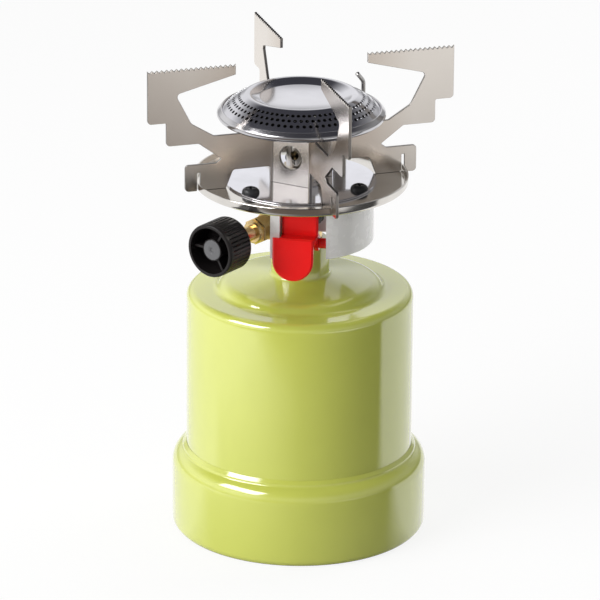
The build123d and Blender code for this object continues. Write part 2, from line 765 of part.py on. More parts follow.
# Outline of one arm in its own upright plane: x is the distance from the axis, y is the height
bend_out = box_half * 2 ** 0.5
slit_out = tray_radius + slit_gap
slit_in = tray_radius - tray_sheet - slit_gap
arm_run = (
    ((arm_reach, shelf_z), arm_corner),
    ((shelf_out, shelf_z), soft_corner),
    ((shelf_out, brow_z), arm_corner),
    ((brow_in, brow_z), arm_corner),
    ((notch_out, notch_z), fine_corner),
    ((ear_root_out, ear_top_z), fine_corner),
    ((ear_out, ear_top_z), arm_corner),
    ((ear_out, ear_bottom_z), arm_corner),
    ((slit_out, ear_bottom_z), fine_corner),
    ((slit_out, slit_top_z), slit_corner),
    ((slit_in, slit_top_z), slit_corner),
    ((slit_in, tray_floor_z), tray_bend),
    ((foot_in, tray_floor_z), fine_corner),
    ((arch_out, arch_z), arm_corner),
    ((bend_out + arch_step, arch_z), soft_corner),
    ((bend_out + strip / 2, shield_z), slit_corner),
    ((bend_out, shield_z), slit_corner),
    ((bend_out, saddle_z), slit_corner),
    ((saddle_out, saddle_z), arm_corner),
    ((throat_out, throat_z), throat_corner),
    ((bar_root_out, bar_root_z), arm_corner),
    ((arm_tip, arm_top_z - bar_tip), slit_corner),
)
arm_points = [(arm_reach, arm_top_z)] + [point for point, _ in arm_run] + [(arm_tip, arm_top_z)]
arm_radii = [radius for _, radius in arm_run]
pitch = (arm_reach - arm_tip) / teeth
tooth_points = [(arm_tip, arm_top_z)]
for number in range(teeth):
    tooth_points.append((arm_tip + (number + 0.5) * pitch, arm_top_z - tooth))
    tooth_points.append((arm_tip + (number + 1) * pitch, arm_top_z))

# Bent strip that both supports share, here with its face towards +X: two arms and the box face
with BuildPart() as bent_strip:
    for arm_angle in (-45, 45):
        with BuildSketch(side_plane(arm_angle)):
            with BuildLine():
                FilletPolyline(*arm_points, radius=arm_radii)
                Polyline(*tooth_points)
            make_face()
        extrude(amount=strip / 2, both=True)
    with BuildSketch(Plane.XY.offset(shield_z)):
        with PolarLocations(bend_out, 2, start_angle=-45, angular_range=90, endpoint=True):
            Circle(strip / 2)
    extrude(amount=saddle_z - shield_z)
    with BuildSketch(facing_plane(0, box_half)):
        with Locations((0, (shield_z + saddle_z) / 2)):
            Rectangle(2 * box_half, saddle_z - shield_z)
        with Locations((0, face_hole_z)):
            Circle(face_hole_radius, mode=Mode.SUBTRACT)
    extrude(amount=strip / 2, both=True)

# Each support adds a tab that the mixing tube clamps; the rear tab lies on the front one
with BuildPart() as front_pot_support:
    add(bent_strip.part.rotate(Axis.Z, front_face_angle))
    with BuildSketch(Plane.XY.offset(shield_z)):
        with Locations(along(front_face_angle, box_half / 2)):
            Rectangle(box_half, 2 * tab_half_width, rotation=front_face_angle)
        Circle(tab_half_width)
        Circle(spigot_radius + slip, mode=Mode.SUBTRACT)
    extrude(amount=tab)
front_pot_support.part.label = "front_pot_support"
export_step(front_pot_support.part, "parts/front_pot_support.step")

with BuildPart() as rear_pot_support:
    add(bent_strip.part.rotate(Axis.Z, rear_face_angle))
    with BuildSketch(Plane.XY.offset(shield_z + tab)):
        with Locations(along(rear_face_angle, box_half / 2)):
            Rectangle(box_half, 2 * tab_half_width, rotation=rear_face_angle)
        Circle(tab_half_width)
        Circle(spigot_radius + slip, mode=Mode.SUBTRACT)
    extrude(amount=tab)
rear_pot_support.part.label = "rear_pot_support"
export_step(rear_pot_support.part, "parts/rear_pot_support.step")

# Mixing tube: its hex collar screws onto the spigot and clamps the tabs
with BuildPart() as mixing_tube:
    with BuildSketch(Plane.XY.offset(collar_z)):
        RegularPolygon(collar_flats / 2, 6, major_radius=False, rotation=collar_turn)
    extrude(amount=collar_height)
    with BuildSketch(Plane.XY.offset(collar_z)):
        Circle(tube_radius)
    extrude(amount=tube_top_z - collar_z)
    with BuildSketch(Plane.XY.offset(collar_z)):
        Circle(tube_radius - tube_wall)
    extrude(amount=tube_top_z - collar_z, mode=Mode.SUBTRACT)
    with BuildSketch(facing_plane(front_face_angle, 0, face_hole_z)):
        Circle(air_hole_radius)
    extrude(amount=2 * tube_radius, both=True, mode=Mode.SUBTRACT)
mixing_tube.part.label = "mixing_tube"
export_step(mixing_tube.part, "parts/mixing_tube.step")

# Burner cap: one pressed sheet with a flat dish, a rounded crest and a flank with rows of flame holes
crest_start = cap_crest_radius - cap_crest_bend * sin(radians(cap_dish_slope))
edge_slope = flank_slope + flank_turn
with BuildPart() as plain_cap:
    with BuildSketch(Plane.XZ):
        with BuildLine():
            floor_line = Line((0, cap_floor_z), (cap_floor_radius, cap_floor_z))
            dish_arc = JernArc(floor_line @ 1, floor_line % 1, cap_dish_bend, cap_dish_slope)
            dish_run = crest_start - (dish_arc @ 1).X
            crest_foot = dish_arc @ 1 + Vector(1, tan(radians(cap_dish_slope))) * dish_run
            dish_line = Line(dish_arc @ 1, crest_foot)
            crest_arc = JernArc(dish_line @ 1, dish_line % 1, cap_crest_bend, -cap_dish_slope - flank_slope)
            flank_arc = JernArc(crest_arc @ 1, crest_arc % 1, flank_bend, -flank_turn)
            edge_run = cap_edge_radius - (flank_arc @ 1).X
            cap_edge = flank_arc @ 1 + Vector(1, -tan(radians(edge_slope))) * edge_run
            Line(flank_arc @ 1, cap_edge)
        trace(line_width=cap_sheet)
    revolve(axis=Axis.Z)
with BuildPart() as flame_cutters:
    flank_top = crest_arc @ 1
    for row, row_radius in enumerate(flame_rows):
        row_slope = asin(sin(radians(flank_slope)) + (row_radius - flank_top.X) / flank_bend)
        row_z = flank_top.Y - flank_bend * (cos(radians(flank_slope)) - cos(row_slope))
        stagger = Location((0, 0, 0), (0, 0, row % 2 * 180 / flame_holes))
        with BuildSketch(Plane(stagger * Location((row_radius, 0, row_z), (0, degrees(row_slope), 0)))):
            RegularPolygon(flame_hole_radius, 6)
        extrude(amount=2 * cap_sheet, both=True)
with BuildPart() as burner_cap:
    add(plain_cap.part)
    with PolarLocations(0, flame_holes):
        add(flame_cutters.part, mode=Mode.SUBTRACT)
burner_cap.part.label = "burner_cap"
export_step(burner_cap.part, "parts/burner_cap.step")

# Burner bowl: a lip folded over the cap's edge, a sloped wall, a flat floor and the sleeve on the tube
sleeve_skin = tube_radius + slip + bowl_sheet / 2
edge_way = Vector(cos(radians(edge_slope)), -sin(radians(edge_slope)))
edge_normal = Vector(sin(radians(edge_slope)), cos(radians(edge_slope)))
lip_start = cap_edge + edge_normal * ((cap_sheet + bowl_sheet) / 2 + slip) - edge_way * crimp_reach
wall_foot_radius = bowl_flat_radius + bowl_flat_bend * sin(radians(bowl_slope))
with BuildPart() as burner_bowl:
    with BuildSketch(Plane.XZ):
        with BuildLine():
            lip_line = Line(lip_start, lip_start + edge_way * (crimp_reach + crimp_room))
            fold_arc = JernArc(lip_line @ 1, lip_line % 1, crimp_bend, edge_slope + bowl_slope - 180)
            wall_run = (fold_arc @ 1).X - wall_foot_radius
            wall_foot = fold_arc @ 1 - Vector(1, tan(radians(bowl_slope))) * wall_run
            wall_line = Line(fold_arc @ 1, wall_foot)
            foot_arc = JernArc(wall_line @ 1, wall_line % 1, bowl_flat_bend, -bowl_slope)
            floor_line = Line(foot_arc @ 1, (sleeve_skin + bowl_sleeve_bend, (foot_arc @ 1).Y))
            sleeve_arc = JernArc(floor_line @ 1, floor_line % 1, bowl_sleeve_bend, -90)
            Line(sleeve_arc @ 1, (sleeve_skin, tube_top_z))
        trace(line_width=bowl_sheet)
    revolve(axis=Axis.Z)
burner_bowl.part.label = "burner_bowl"
export_step(burner_bowl.part, "parts/burner_bowl.step")

# Ceramic insulator and the bent spark wire inside it
with BuildPart() as electrode_insulator:
    with BuildSketch(Plane.XY.offset(insulator_bottom_z)):
        with Locations(insulator_at):
            Circle(insulator_radius)
            Circle(electrode_radius + slip, mode=Mode.SUBTRACT)
    extrude(amount=insulator_top_z - insulator_bottom_z)
electrode_insulator.part.label = "electrode_insulator"
export_step(electrode_insulator.part, "parts/electrode_insulator.step")

with BuildPart() as spark_electrode:
    with BuildLine(side_plane(electrode_angle)) as wire_path:
        FilletPolyline(
            (electrode_foot, electrode_foot_z),
            (electrode_foot, electrode_rise_z),
            (electrode_reach, electrode_knee_z),
            (electrode_reach, electrode_bend_z),
            (electrode_tip_in, electrode_tip_z),
            radius=electrode_bend,
        )
    with BuildSketch(Plane(origin=wire_path.line @ 0, z_dir=wire_path.line % 0)):
        Circle(electrode_radius)
    sweep()
spark_electrode.part.label = "spark_electrode"
export_step(spark_electrode.part, "parts/spark_electrode.step")
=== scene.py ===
import math

import bmesh
import bpy
from mathutils import Matrix, Quaternion, Vector

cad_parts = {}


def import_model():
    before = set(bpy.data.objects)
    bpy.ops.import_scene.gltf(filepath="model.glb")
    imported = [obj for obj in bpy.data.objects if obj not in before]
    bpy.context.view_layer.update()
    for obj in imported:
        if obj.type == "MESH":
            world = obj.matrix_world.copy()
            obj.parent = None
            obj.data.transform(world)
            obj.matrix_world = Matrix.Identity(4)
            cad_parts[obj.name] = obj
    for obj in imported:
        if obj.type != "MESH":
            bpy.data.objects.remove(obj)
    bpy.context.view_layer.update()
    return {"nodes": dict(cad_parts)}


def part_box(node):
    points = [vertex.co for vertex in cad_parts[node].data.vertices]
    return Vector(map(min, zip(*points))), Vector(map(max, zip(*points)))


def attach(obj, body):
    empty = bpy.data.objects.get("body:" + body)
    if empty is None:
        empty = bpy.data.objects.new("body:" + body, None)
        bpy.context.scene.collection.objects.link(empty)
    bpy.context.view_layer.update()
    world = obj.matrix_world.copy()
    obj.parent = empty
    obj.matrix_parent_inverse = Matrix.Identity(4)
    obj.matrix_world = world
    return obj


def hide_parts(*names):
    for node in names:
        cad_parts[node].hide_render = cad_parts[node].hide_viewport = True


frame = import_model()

# Shapes are worked out in millimetres, in the frame of the solids, and scaled when a piece is made
MM = 0.001
SMOOTH_ANGLE = 34.0
WELD = 1e-4
ON_AXIS = 1e-6
ARC_STEP = 7.5
CORNER_STEP = 15.0
SHARPEST_CORNER = 0.35

# Steps of round forms, from coarse to fine
PIN_STEPS = 24
ROUND_STEPS = 40
ROD_STEPS = 48
COLLAR_STEPS = 64
RING_STEPS = 192

# Usual broken edge or small rounding, and how far a form is sunk into the next
EDGE = 0.3
SUNK = 0.3

# Rounded ends of sheets and wires: directions in degrees, and the bulge as a share of half the thickness
SHEET_END_TURNS = (45, 90, 135)
SHEET_END = 0.6
WIRE_END_TURNS = (30, 60, 85)
WIRE_END = 0.5
WIRE_SIDES = 20

# Directions in plan, in degrees
KNOB_ANGLE = 216.0
LEVER_ANGLE = 242.0
ELECTRODE_ANGLE = 30.0
SUPPORT_ANGLES = {"front_pot_support": 225.0, "rear_pot_support": 45.0}
SCREW_ANGLES = (79.0, 204.0, 314.0)


def sine(degrees):
    return math.sin(math.radians(degrees))


def cosine(degrees):
    return math.cos(math.radians(degrees))


def unit(degrees):
    """Direction in a plane."""
    return Vector((cosine(degrees), sine(degrees)))


def node_box(node):
    """Lowest and highest corner of a solid in millimetres."""
    low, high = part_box(node)
    return low / MM, high / MM


def along(angle, distance, height=0):
    """Point in a direction in plan, at a distance from the stove's axis and at a height."""
    return Vector((cosine(angle), sine(angle), 0)) * distance + Vector((0, 0, height))


def spin(angle, axis="Z"):
    """Matrix of a turn about an axis."""
    return Matrix.Rotation(math.radians(angle), 4, axis)


def frame_at(angle, origin=(0, 0, 0)):
    """Matrix whose x runs across a direction, y runs up and z runs out along it."""
    columns = (along(angle + 90, 1), Vector((0, 0, 1)), along(angle, 1))
    return Matrix.Translation(origin) @ Matrix(columns).transposed().to_4x4()


# Outlines


def trace(start, heading, *moves):
    """Points and normals of a path. A move is (radius, turn) for a tangent arc, or ("r", value) or
    ("z", value) for a straight run up to that radius or height."""
    point = Vector(start)
    path = [(point, unit(heading + 90))]
    for first, second in moves:
        if first in ("r", "z"):
            step = unit(heading)
            axis = "rz".index(first)
            point = point + step * ((second - point[axis]) / step[axis])
            path.append((point, unit(heading + 90)))
            continue
        count = max(2, round(abs(second) / ARC_STEP))
        reach = math.copysign(first, second)
        centre = point + unit(heading + 90) * reach
        for _ in range(count):
            heading += second / count
            point = centre - unit(heading + 90) * reach
            path.append((point, unit(heading + 90)))
    return path


def sheet_section(path, thickness, tip=None):
    """Closed outline of a sheet along a path, with rounded ends, or run out to a tip at the far end."""
    half = thickness / 2
    outline = [point + normal * half for point, normal in path]
    for (point, normal), side in ((path[-1], 1), (path[0], -1)):
        if side == 1 and tip is not None:
            outline.append(tip)
        elif point.x > ON_AXIS:
            ahead = Vector((normal.y, -normal.x)) * side
            for turn in SHEET_END_TURNS:
                across = normal * half * cosine(turn) * side
                outline.append(point + across + ahead * half * SHEET_END * sine(turn))
        if side == 1:
            outline.extend(spot - way * half for spot, way in reversed(path))
    return outline


def oblong(left, right, low, high, foot=0, top=0):
    """Corners of an oblong, with the radius of the lower two and of the upper two."""
    return [(left, low, foot), (right, low, foot), (right, high, top), (left, high, top)]


def rounded(corners, closed=True, arc_step=CORNER_STEP):
    """Outline through corners (x, y, radius), each rounded by an arc of its radius."""
    outline = []
    count = len(corners)
    for index, (x, y, radius) in enumerate(corners):
        here = Vector((x, y))
        if radius == 0 or (not closed and index in (0, count - 1)):
            outline.append(here)
            continue
        before = Vector(corners[index - 1][:2]) - here
        after = Vector(corners[(index + 1) % count][:2]) - here
        opening = before.angle(after)
        start = here + before.normalized() * (radius / math.tan(opening / 2))
        inwards = (before.normalized() + after.normalized()).normalized()
        middle = here + inwards * radius / math.sin(opening / 2)
        first = start - middle
        sweep = math.pi - opening
        if before.x * after.y - before.y * after.x > 0:
            sweep = -sweep
        steps = max(2, round(abs(math.degrees(sweep)) / arc_step))
        for step in range(steps + 1):
            outline.append(middle + Matrix.Rotation(sweep * step / steps, 2) @ first)
    return outline


def circle(radius, steps, centre=(0, 0), start=0.0):
    """Points of a circle."""
    turns = [math.radians(start) + 2 * math.pi * step / steps for step in range(steps)]
    return [Vector((centre[0] + radius * math.cos(t), centre[1] + radius * math.sin(t))) for t in turns]


def hexagon(flats, start, corner):
    """Outline of a hexagon of a width across its flats, with rounded corners."""
    return rounded([(*point, corner) for point in circle(flats / math.sqrt(3), 6, start=start)])


def inset(outline, amount):
    """Closed outline moved inwards by a small amount; the outline runs anticlockwise."""
    moved = []
    for index, here in enumerate(outline):
        before = here - outline[index - 1]
        after = outline[(index + 1) % len(outline)] - here
        first = Vector((-before.y, before.x)).normalized()
        second = Vector((-after.y, after.x)).normalized()
        middle = (first + second).normalized()
        moved.append(here + middle * amount / max(SHARPEST_CORNER, middle.dot(first)))
    return moved


def turned_left(outline):
    """The outline, running anticlockwise."""
    area = sum(a.x * b.y - b.x * a.y for a, b in zip(outline, outline[1:] + outline[:1]))
    return outline if area > 0 else outline[::-1]


# Meshes


def bridge(mesh, rings):
    """Adds the faces between each ring of vertices and the next. A ring may be one vertex, repeated."""
    for low, high in zip(rings, rings[1:]):
        for step in range(len(low)):
            after = (step + 1) % len(low)
            corners = dict.fromkeys((low[step], low[after], high[after], high[step]))
            if len(corners) > 2:
                mesh.faces.new(tuple(corners))


def lathe(mesh, outline, steps=RING_STEPS, place=None, closed=True):
    """Adds the outline (radius, height) turned about the axis."""
    rings = []
    for radius, height in outline:
        if radius < ON_AXIS:
            rings.append([mesh.verts.new((0, 0, height))] * steps)
        else:
            rings.append([mesh.verts.new((*point, height)) for point in circle(radius, steps)])
    bridge(mesh, rings + rings[:1] if closed else rings)
    if place is not None:
        made = {vertex for ring in rings for vertex in ring}
        bmesh.ops.transform(mesh, matrix=place, verts=list(made))


def plate(mesh, outline, low, high, edge, holes=(), place=None):
    """Adds a flat plate between two heights, with broken edges and holes right through it."""
    made = []
    caps = ([], [])
    for loop in [turned_left(outline)] + [turned_left(hole)[::-1] for hole in holes]:
        inner = inset(loop, edge)
        levels = ((inner, low), (loop, low + edge), (loop, high - edge), (inner, high))
        rings = [[mesh.verts.new((*point, z)) for point in points] for points, z in levels]
        made.extend(vertex for ring in rings for vertex in ring)
        bridge(mesh, rings)
        for cap, ring in zip(caps, (rings[0], rings[-1])):
            cap.extend(mesh.edges.get(pair) for pair in zip(ring, ring[1:] + ring[:1]))
    for cap in caps:
        bmesh.ops.triangle_fill(mesh, use_beauty=True, use_dissolve=False, edges=cap)
    if place is not None:
        bmesh.ops.transform(mesh, matrix=place, verts=made)


def wire(mesh, points, radius, tip):
    """Adds a round wire that starts upright, along points and with rounded ends, the last of radius tip."""
    spots = []
    for index, point in enumerate(points):
        way = points[min(len(points) - 1, index + 1)] - points[max(0, index - 1)]
        spots.append((point, way.normalized(), radius))
    ends = []
    for (point, way, _), size, side in ((spots[0], radius, -1), (spots[-1], tip, 1)):
        ends.append([(point + way * size * sine(turn) * WIRE_END * side, way, size * cosine(turn))
                     for turn in WIRE_END_TURNS])
    across = Vector((1, 0, 0))
    rings = []
    for point, way, size in ends[0][::-1] + spots + ends[1]:
        across = (across - way * across.dot(way)).normalized()
        other = way.cross(across)
        rings.append([mesh.verts.new(point + (across * turn.x + other * turn.y) * size)
                      for turn in circle(1, WIRE_SIDES)])
    bridge(mesh, rings)
    mesh.faces.new(rings[0][::-1])
    mesh.faces.new(rings[-1])


def score(mesh, spot, normal=(1, 0, 0)):
    """Divides edges and faces along a plane."""
    parts = mesh.verts[:] + mesh.edges[:] + mesh.faces[:]
    bmesh.ops.bisect_plane(mesh, geom=parts, plane_co=spot, plane_no=normal)


def show(name, data):
    """Object of some data, put into the scene."""
    made = bpy.data.objects.new(name, data)
    bpy.context.scene.collection.objects.link(made)
    return made


def mesh_data(name, mesh):
    """Data of a finished mesh."""
    data = bpy.data.meshes.new(name)
    mesh.to_mesh(data)
    mesh.free()
    return data


def piece(name, mesh, body, slot, material, *nodes, sharp=SMOOTH_ANGLE):
    """Makes an object of a mesh in millimetres, lets it ride on a body and stand for its solids."""
    bmesh.ops.remove_doubles(mesh, verts=mesh.verts, dist=WELD)
    bmesh.ops.recalc_face_normals(mesh, faces=mesh.faces)
    for face in mesh.faces:
        face.smooth = True
    for edge in mesh.edges:
        edge.smooth = len(edge.link_faces) == 2 and edge.calc_face_angle() < math.radians(sharp)
    mesh.transform(Matrix.Scale(MM, 4))
    data = mesh_data(name, mesh)
    data.materials.append(material)
    made = show(name, data)
    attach(made, body)
    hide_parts(*nodes)
    return made


def blacken(made, picked):
    """Gives the picked faces of a piece a black finish, as painted shade of the burner's dark inside."""
    made.data.materials.append(INSIDE_SHADE)
    for face in made.data.polygons:
        if picked(face):
            face.material_index = 1


# Materials

# Middle range of a noise, over which a colour or a polish goes from one value to the other
NOISE_LOW = 0.3
NOISE_HIGH = 0.7
BUMP_DEPTH = 0.0002

# Sockets of a mix node for colours
MIX_FIRST = 6
MIX_SECOND = 7
MIX_RESULT = 2


class Graph:
    """Short ways to add nodes to a node tree."""

    def __init__(self, tree):
        self.tree = tree

    def plug(self, socket, value):
        if isinstance(value, bpy.types.NodeSocket):
            self.tree.links.new(value, socket)
        else:
            socket.default_value = value

    def node(self, kind, settings=(), **inputs):
        made = self.tree.nodes.new("ShaderNode" + kind)
        for key, value in dict(settings).items():
            setattr(made, key, value)
        for socket, value in inputs.items():
            self.plug(made.inputs[socket.replace("_", " ")], value)
        return made

    def ramp(self, value, *stops):
        """Colour ramp over stops (position, colour or grey)."""
        made = self.node("ValToRGB", Fac=value)
        points = made.color_ramp.elements
        while len(points) < len(stops):
            points.new(1.0)
        for point, (position, colour) in zip(points, stops):
            point.position = position
            point.color = (*colour, 1) if isinstance(colour, tuple) else (colour, colour, colour, 1)
        return made.outputs["Color"]

    def put(self, kind, output, *values, **settings):
        """Output of a new node whose first sockets take the values."""
        made = self.node(kind, settings)
        for socket, value in zip(made.inputs, values):
            self.plug(socket, value)
        return made.outputs[output]

    def math(self, operation, first, second=0.0):
        return self.put("Math", "Value", first, second, operation=operation)

    def mix(self, factor, first, second):
        made = self.node("Mix", {"data_type": "RGBA"})
        self.plug(made.inputs["Factor"], factor)
        self.plug(made.inputs[MIX_FIRST], first)
        self.plug(made.inputs[MIX_SECOND], second)
        return made.outputs[MIX_RESULT]

    def dot(self, vector, direction):
        """Length of a vector along a direction."""
        return self.put("VectorMath", "Value", vector, direction, operation="DOT_PRODUCT")

    def blend(self, factor, first, second):
        """Mix of two shaders."""
        return self.put("MixShader", "Shader", factor, first, second)


class Shader(Graph):
    """A node material with one principled shader."""

    def __init__(self, name):
        self.material = bpy.data.materials.new(name)
        self.material.use_nodes = True
        super().__init__(self.material.node_tree)
        self.main = self.tree.nodes["Principled BSDF"]
        self.place = self.tree.nodes.new("ShaderNodeTexCoord").outputs["Object"]

    def set(self, **values):
        for socket, value in values.items():
            self.plug(self.main.inputs[socket.replace("_", " ")], value)

    def stretched(self, x, y, z):
        """Object coordinates scaled along each axis."""
        return self.node("Mapping", Vector=self.place, Scale=(x, y, z)).outputs["Vector"]

    def axis_distance(self):
        """Distance from the stove's axis."""
        parts = self.node("SeparateXYZ", Vector=self.place).outputs
        squares = [self.math("POWER", parts[axis], 2.0) for axis in ("X", "Y")]
        return self.math("SQRT", self.math("ADD", *squares))

    def noise(self, scale, detail=3.0, where=None, roughness=0.55):
        made = self.node("TexNoise", Scale=scale, Detail=detail, Roughness=roughness,
                         Vector=self.place if where is None else where)
        return made.outputs["Fac"]

    def spread(self, value, low, high):
        """Ramp from one colour or grey to another over the middle range of a noise."""
        return self.ramp(value, (NOISE_LOW, low), (NOISE_HIGH, high))

    def weighed(self, share, first, second):
        """A share of one value and the rest of another."""
        return self.math("ADD", self.math("MULTIPLY", first, share), self.math("MULTIPLY", second, 1 - share))

    def bump(self, height, strength, distance=BUMP_DEPTH):
        made = self.node("Bump", Height=height, Strength=strength, Distance=distance)
        self.set(Normal=made.outputs["Normal"])


def scaled(colour, *shares):
    """A colour times a share, or times one share for each of its parts."""
    return tuple(part * share for part, share in zip(colour, shares * (3 // len(shares))))


def lime_enamel():
    """Glossy enamel with a drift in its colour and a slight orange peel."""
    s = Shader("lime_enamel")
    colour = s.ramp(s.noise(14.0), (0.25, (0.580, 0.625, 0.100)), (0.75, (0.630, 0.672, 0.118)))
    s.set(Base_Color=colour, Roughness=s.spread(s.noise(60.0), 0.16, 0.21))
    s.set(Coat_Weight=1.0, Coat_Roughness=0.10, Coat_IOR=2.3, Specular_IOR_Level=0.1)
    peel = s.math("ADD", s.noise(900.0, 2.0), s.math("MULTIPLY", s.noise(120.0, 2.0), 2.0))
    s.bump(peel, 0.06, 2 * BUMP_DEPTH)
    return s.material


# Brown of the painted shade on the supports under the burner, as a share of the nickel's colour, and what
# brings a distance in metres into a ramp
SHADE_BROWN = (0.62, 0.54, 0.47)
SHADE_SCALE = 20.0
SHEET_DIM = 0.93
SHEET_STREAKS = 0.15
SPUN_DIM = 0.86
SPUN_MARKS = 0.5
MOULDED_DIM = 0.95


def sheet_steel(name, tint, low, high, grain, strength, under_burner_shade=()):
    """Rolled or plated sheet with a faint directional grain and cloudy polish, and with painted shade,
    browned and darker, between the distances from the axis that are given with their strengths."""
    s = Shader(name)
    streaks = s.noise(1.0, 4.0, s.stretched(*grain), 0.6)
    clouds = s.noise(38.0)
    shade = s.mix(s.ramp(clouds, (0.3, 0.0), (0.75, 1.0)), (*scaled(tint, SHEET_DIM), 1), (*tint, 1))
    # Painted shade: the sheet turns browner and darker near the axis, under the burner
    if under_burner_shade:
        painted_shade = s.ramp(s.math("MULTIPLY", s.axis_distance(), SHADE_SCALE), *under_burner_shade)
        shade = s.mix(painted_shade, shade, (*scaled(tint, *SHADE_BROWN), 1))
    s.set(Base_Color=shade, Metallic=1.0)
    s.set(Roughness=s.spread(s.weighed(SHEET_STREAKS, streaks, clouds), low, high))
    s.bump(streaks, strength)
    return s.material


def spun_steel(name, tint, low, high, rings, strength):
    """Pressed and polished sheet with fine turning marks round the axis."""
    s = Shader(name)
    height = s.put("SeparateXYZ", "Z", s.place)
    turned = s.put("CombineXYZ", "Vector", s.axis_distance(), height, 0.0)
    marks = s.noise(rings, 3.0, turned, 0.7)
    clouds = s.noise(45.0)
    shade = s.mix(s.spread(clouds, 0.0, 1.0), (*scaled(tint, SPUN_DIM), 1), (*tint, 1))
    s.set(Base_Color=shade, Metallic=1.0)
    s.set(Roughness=s.spread(s.weighed(SPUN_MARKS, marks, clouds), low, high))
    s.bump(marks, strength)
    return s.material


def moulded(name, colour, low, high, grain, strength, coat=0.0, shine=0.5):
    """Moulded plastic with a slight cast in its colour and a fine surface grain."""
    s = Shader(name)
    s.set(Base_Color=s.spread(s.noise(55.0), scaled(colour, MOULDED_DIM), colour))
    s.set(Roughness=s.spread(s.noise(220.0), low, high))
    s.set(Coat_Weight=coat, Coat_Roughness=0.08, Specular_IOR_Level=shine)
    s.bump(s.noise(grain), strength)
    return s.material


def machined_brass():
    """Brass with uneven tarnish and turning marks."""
    s = Shader("machined_brass")
    s.set(Base_Color=s.spread(s.noise(90.0, 4.0), (0.74, 0.51, 0.20), (0.90, 0.70, 0.37)), Metallic=1.0)
    s.set(Roughness=s.spread(s.noise(400.0), 0.16, 0.28))
    s.bump(s.noise(1.0, 3.0, s.stretched(300, 300, 4000)), 0.10)
    return s.material


def pale_ceramic():
    """Unglazed ceramic with a fine grain."""
    s = Shader("pale_ceramic")
    s.set(Base_Color=s.spread(s.noise(300.0, 4.0), (0.72, 0.70, 0.66), (0.84, 0.82, 0.79)))
    s.set(Roughness=s.spread(s.noise(500.0), 0.45, 0.6))
    s.bump(s.noise(1500.0), 0.15)
    return s.material


LIME = lime_enamel()
# Painted shade under the burner: a brown ramp over the distance from the axis, strongest near the box
NICKEL = sheet_steel("satin_nickel", (0.83, 0.775, 0.715), 0.22, 0.27, (40, 40, 900), 0.004,
                     ((0.24, 0.0), (0.27, 0.6), (0.55, 0.5), (0.95, 0.0)))
CUT_EDGE = sheet_steel("cut_edge", (0.34, 0.32, 0.30), 0.26, 0.36, (300, 300, 300), 0.03)
TRAY_STEEL = spun_steel("tray_steel", (0.76, 0.73, 0.69), 0.10, 0.18, 2500.0, 0.02)
BURNER_STEEL = spun_steel("burner_steel", (0.66, 0.65, 0.67), 0.12, 0.20, 3000.0, 0.01)
CAP_STEEL = spun_steel("pressed_cap_steel", (0.72, 0.715, 0.76), 0.09, 0.15, 3000.0, 0.008)
SHIELD_SHEET = spun_steel("shield_sheet", (0.79, 0.79, 0.85), 0.08, 0.13, 2000.0, 0.006)
WIRE_STEEL = sheet_steel("drawn_wire", (0.52, 0.51, 0.50), 0.25, 0.40, (300, 300, 300), 0.05)
BRASS = machined_brass()
COPPERY = sheet_steel("spindle_alloy", (0.84, 0.60, 0.33), 0.18, 0.30, (800, 800, 800), 0.05)
BLACK = moulded("black_moulding", (0.013, 0.011, 0.011), 0.30, 0.42, 1400.0, 0.15, shine=0.35)
GREY = moulded("grey_moulding", (0.12, 0.12, 0.124), 0.35, 0.48, 1200.0, 0.12)
WHITE = moulded("white_moulding", (0.93, 0.92, 0.905), 0.22, 0.30, 700.0, 0.03, coat=0.5, shine=0.7)
RED = moulded("red_moulding", (0.88, 0.010, 0.010), 0.14, 0.22, 500.0, 0.03, shine=0.4)
BLACK_STEEL = moulded("black_oxide", (0.030, 0.030, 0.032), 0.28, 0.42, 900.0, 0.12)
RUBBER = moulded("black_rubber", (0.022, 0.022, 0.022), 0.65, 0.8, 900.0, 0.2)
CERAMIC = pale_ceramic()
# Painted shade: near-black finish for the dark inside of the burner and of the mixing tube
INSIDE_SHADE = moulded("painted_inside_shade", (0.010, 0.009, 0.008), 0.7, 0.9, 1500.0, 0.2, shine=0.1)
CAN_PAINT = moulded("cartridge_paint", (0.23, 0.34, 0.52), 0.30, 0.40, 700.0, 0.04)


# Lime shells

SHEET = 1.0
FOOT_EDGE = 2.5
FOOT_SHOULDER = 6.5
FOOT_THROAT = 2.0
FOOT_LIP = 0.8
LIP_ROOM = 0.08
LIP_RUN = 0.6
SCREW_GAP = 0.3
_, foot_high = node_box("base_cup")
house_low, house_high = node_box("cartridge_housing")
foot_wall = foot_high.x - SHEET / 2
foot_curve = FOOT_SHOULDER + FOOT_THROAT
lip_radius = house_high.x + SCREW_GAP + SHEET / 2
foot_sweep = math.degrees(math.acos(1 - (foot_wall - lip_radius) / foot_curve))
foot_curve_z = foot_high.z - FOOT_LIP - foot_curve * sine(foot_sweep)


def foot_shell():
    mesh = bmesh.new()
    path = trace((0, SHEET / 2), 0, ("r", foot_wall - FOOT_EDGE), (FOOT_EDGE, 90), ("z", foot_curve_z),
                 (FOOT_SHOULDER, foot_sweep), (FOOT_THROAT, -foot_sweep))
    lathe(mesh, sheet_section(path, SHEET, Vector((house_high.x + LIP_ROOM, foot_high.z + LIP_RUN))))
    piece("foot_shell", mesh, "base_cup", "lime_enamel", LIME, "base_cup")


SHOULDER_Z = 103.4
SHOULDER_EDGE = 3.0
DOME_RADIUS = 36.5
DOME_SLOPE = 8.0
DOME_TURN = 52.0
DOME_FOOT_BEND = 4.0
DOME_CREST_BEND = 6.5
NECK_RADIUS = 12.0
NECK_FILLET = 2.0
NECK_EDGE = 2.0
NECK_HOLE = 5.4


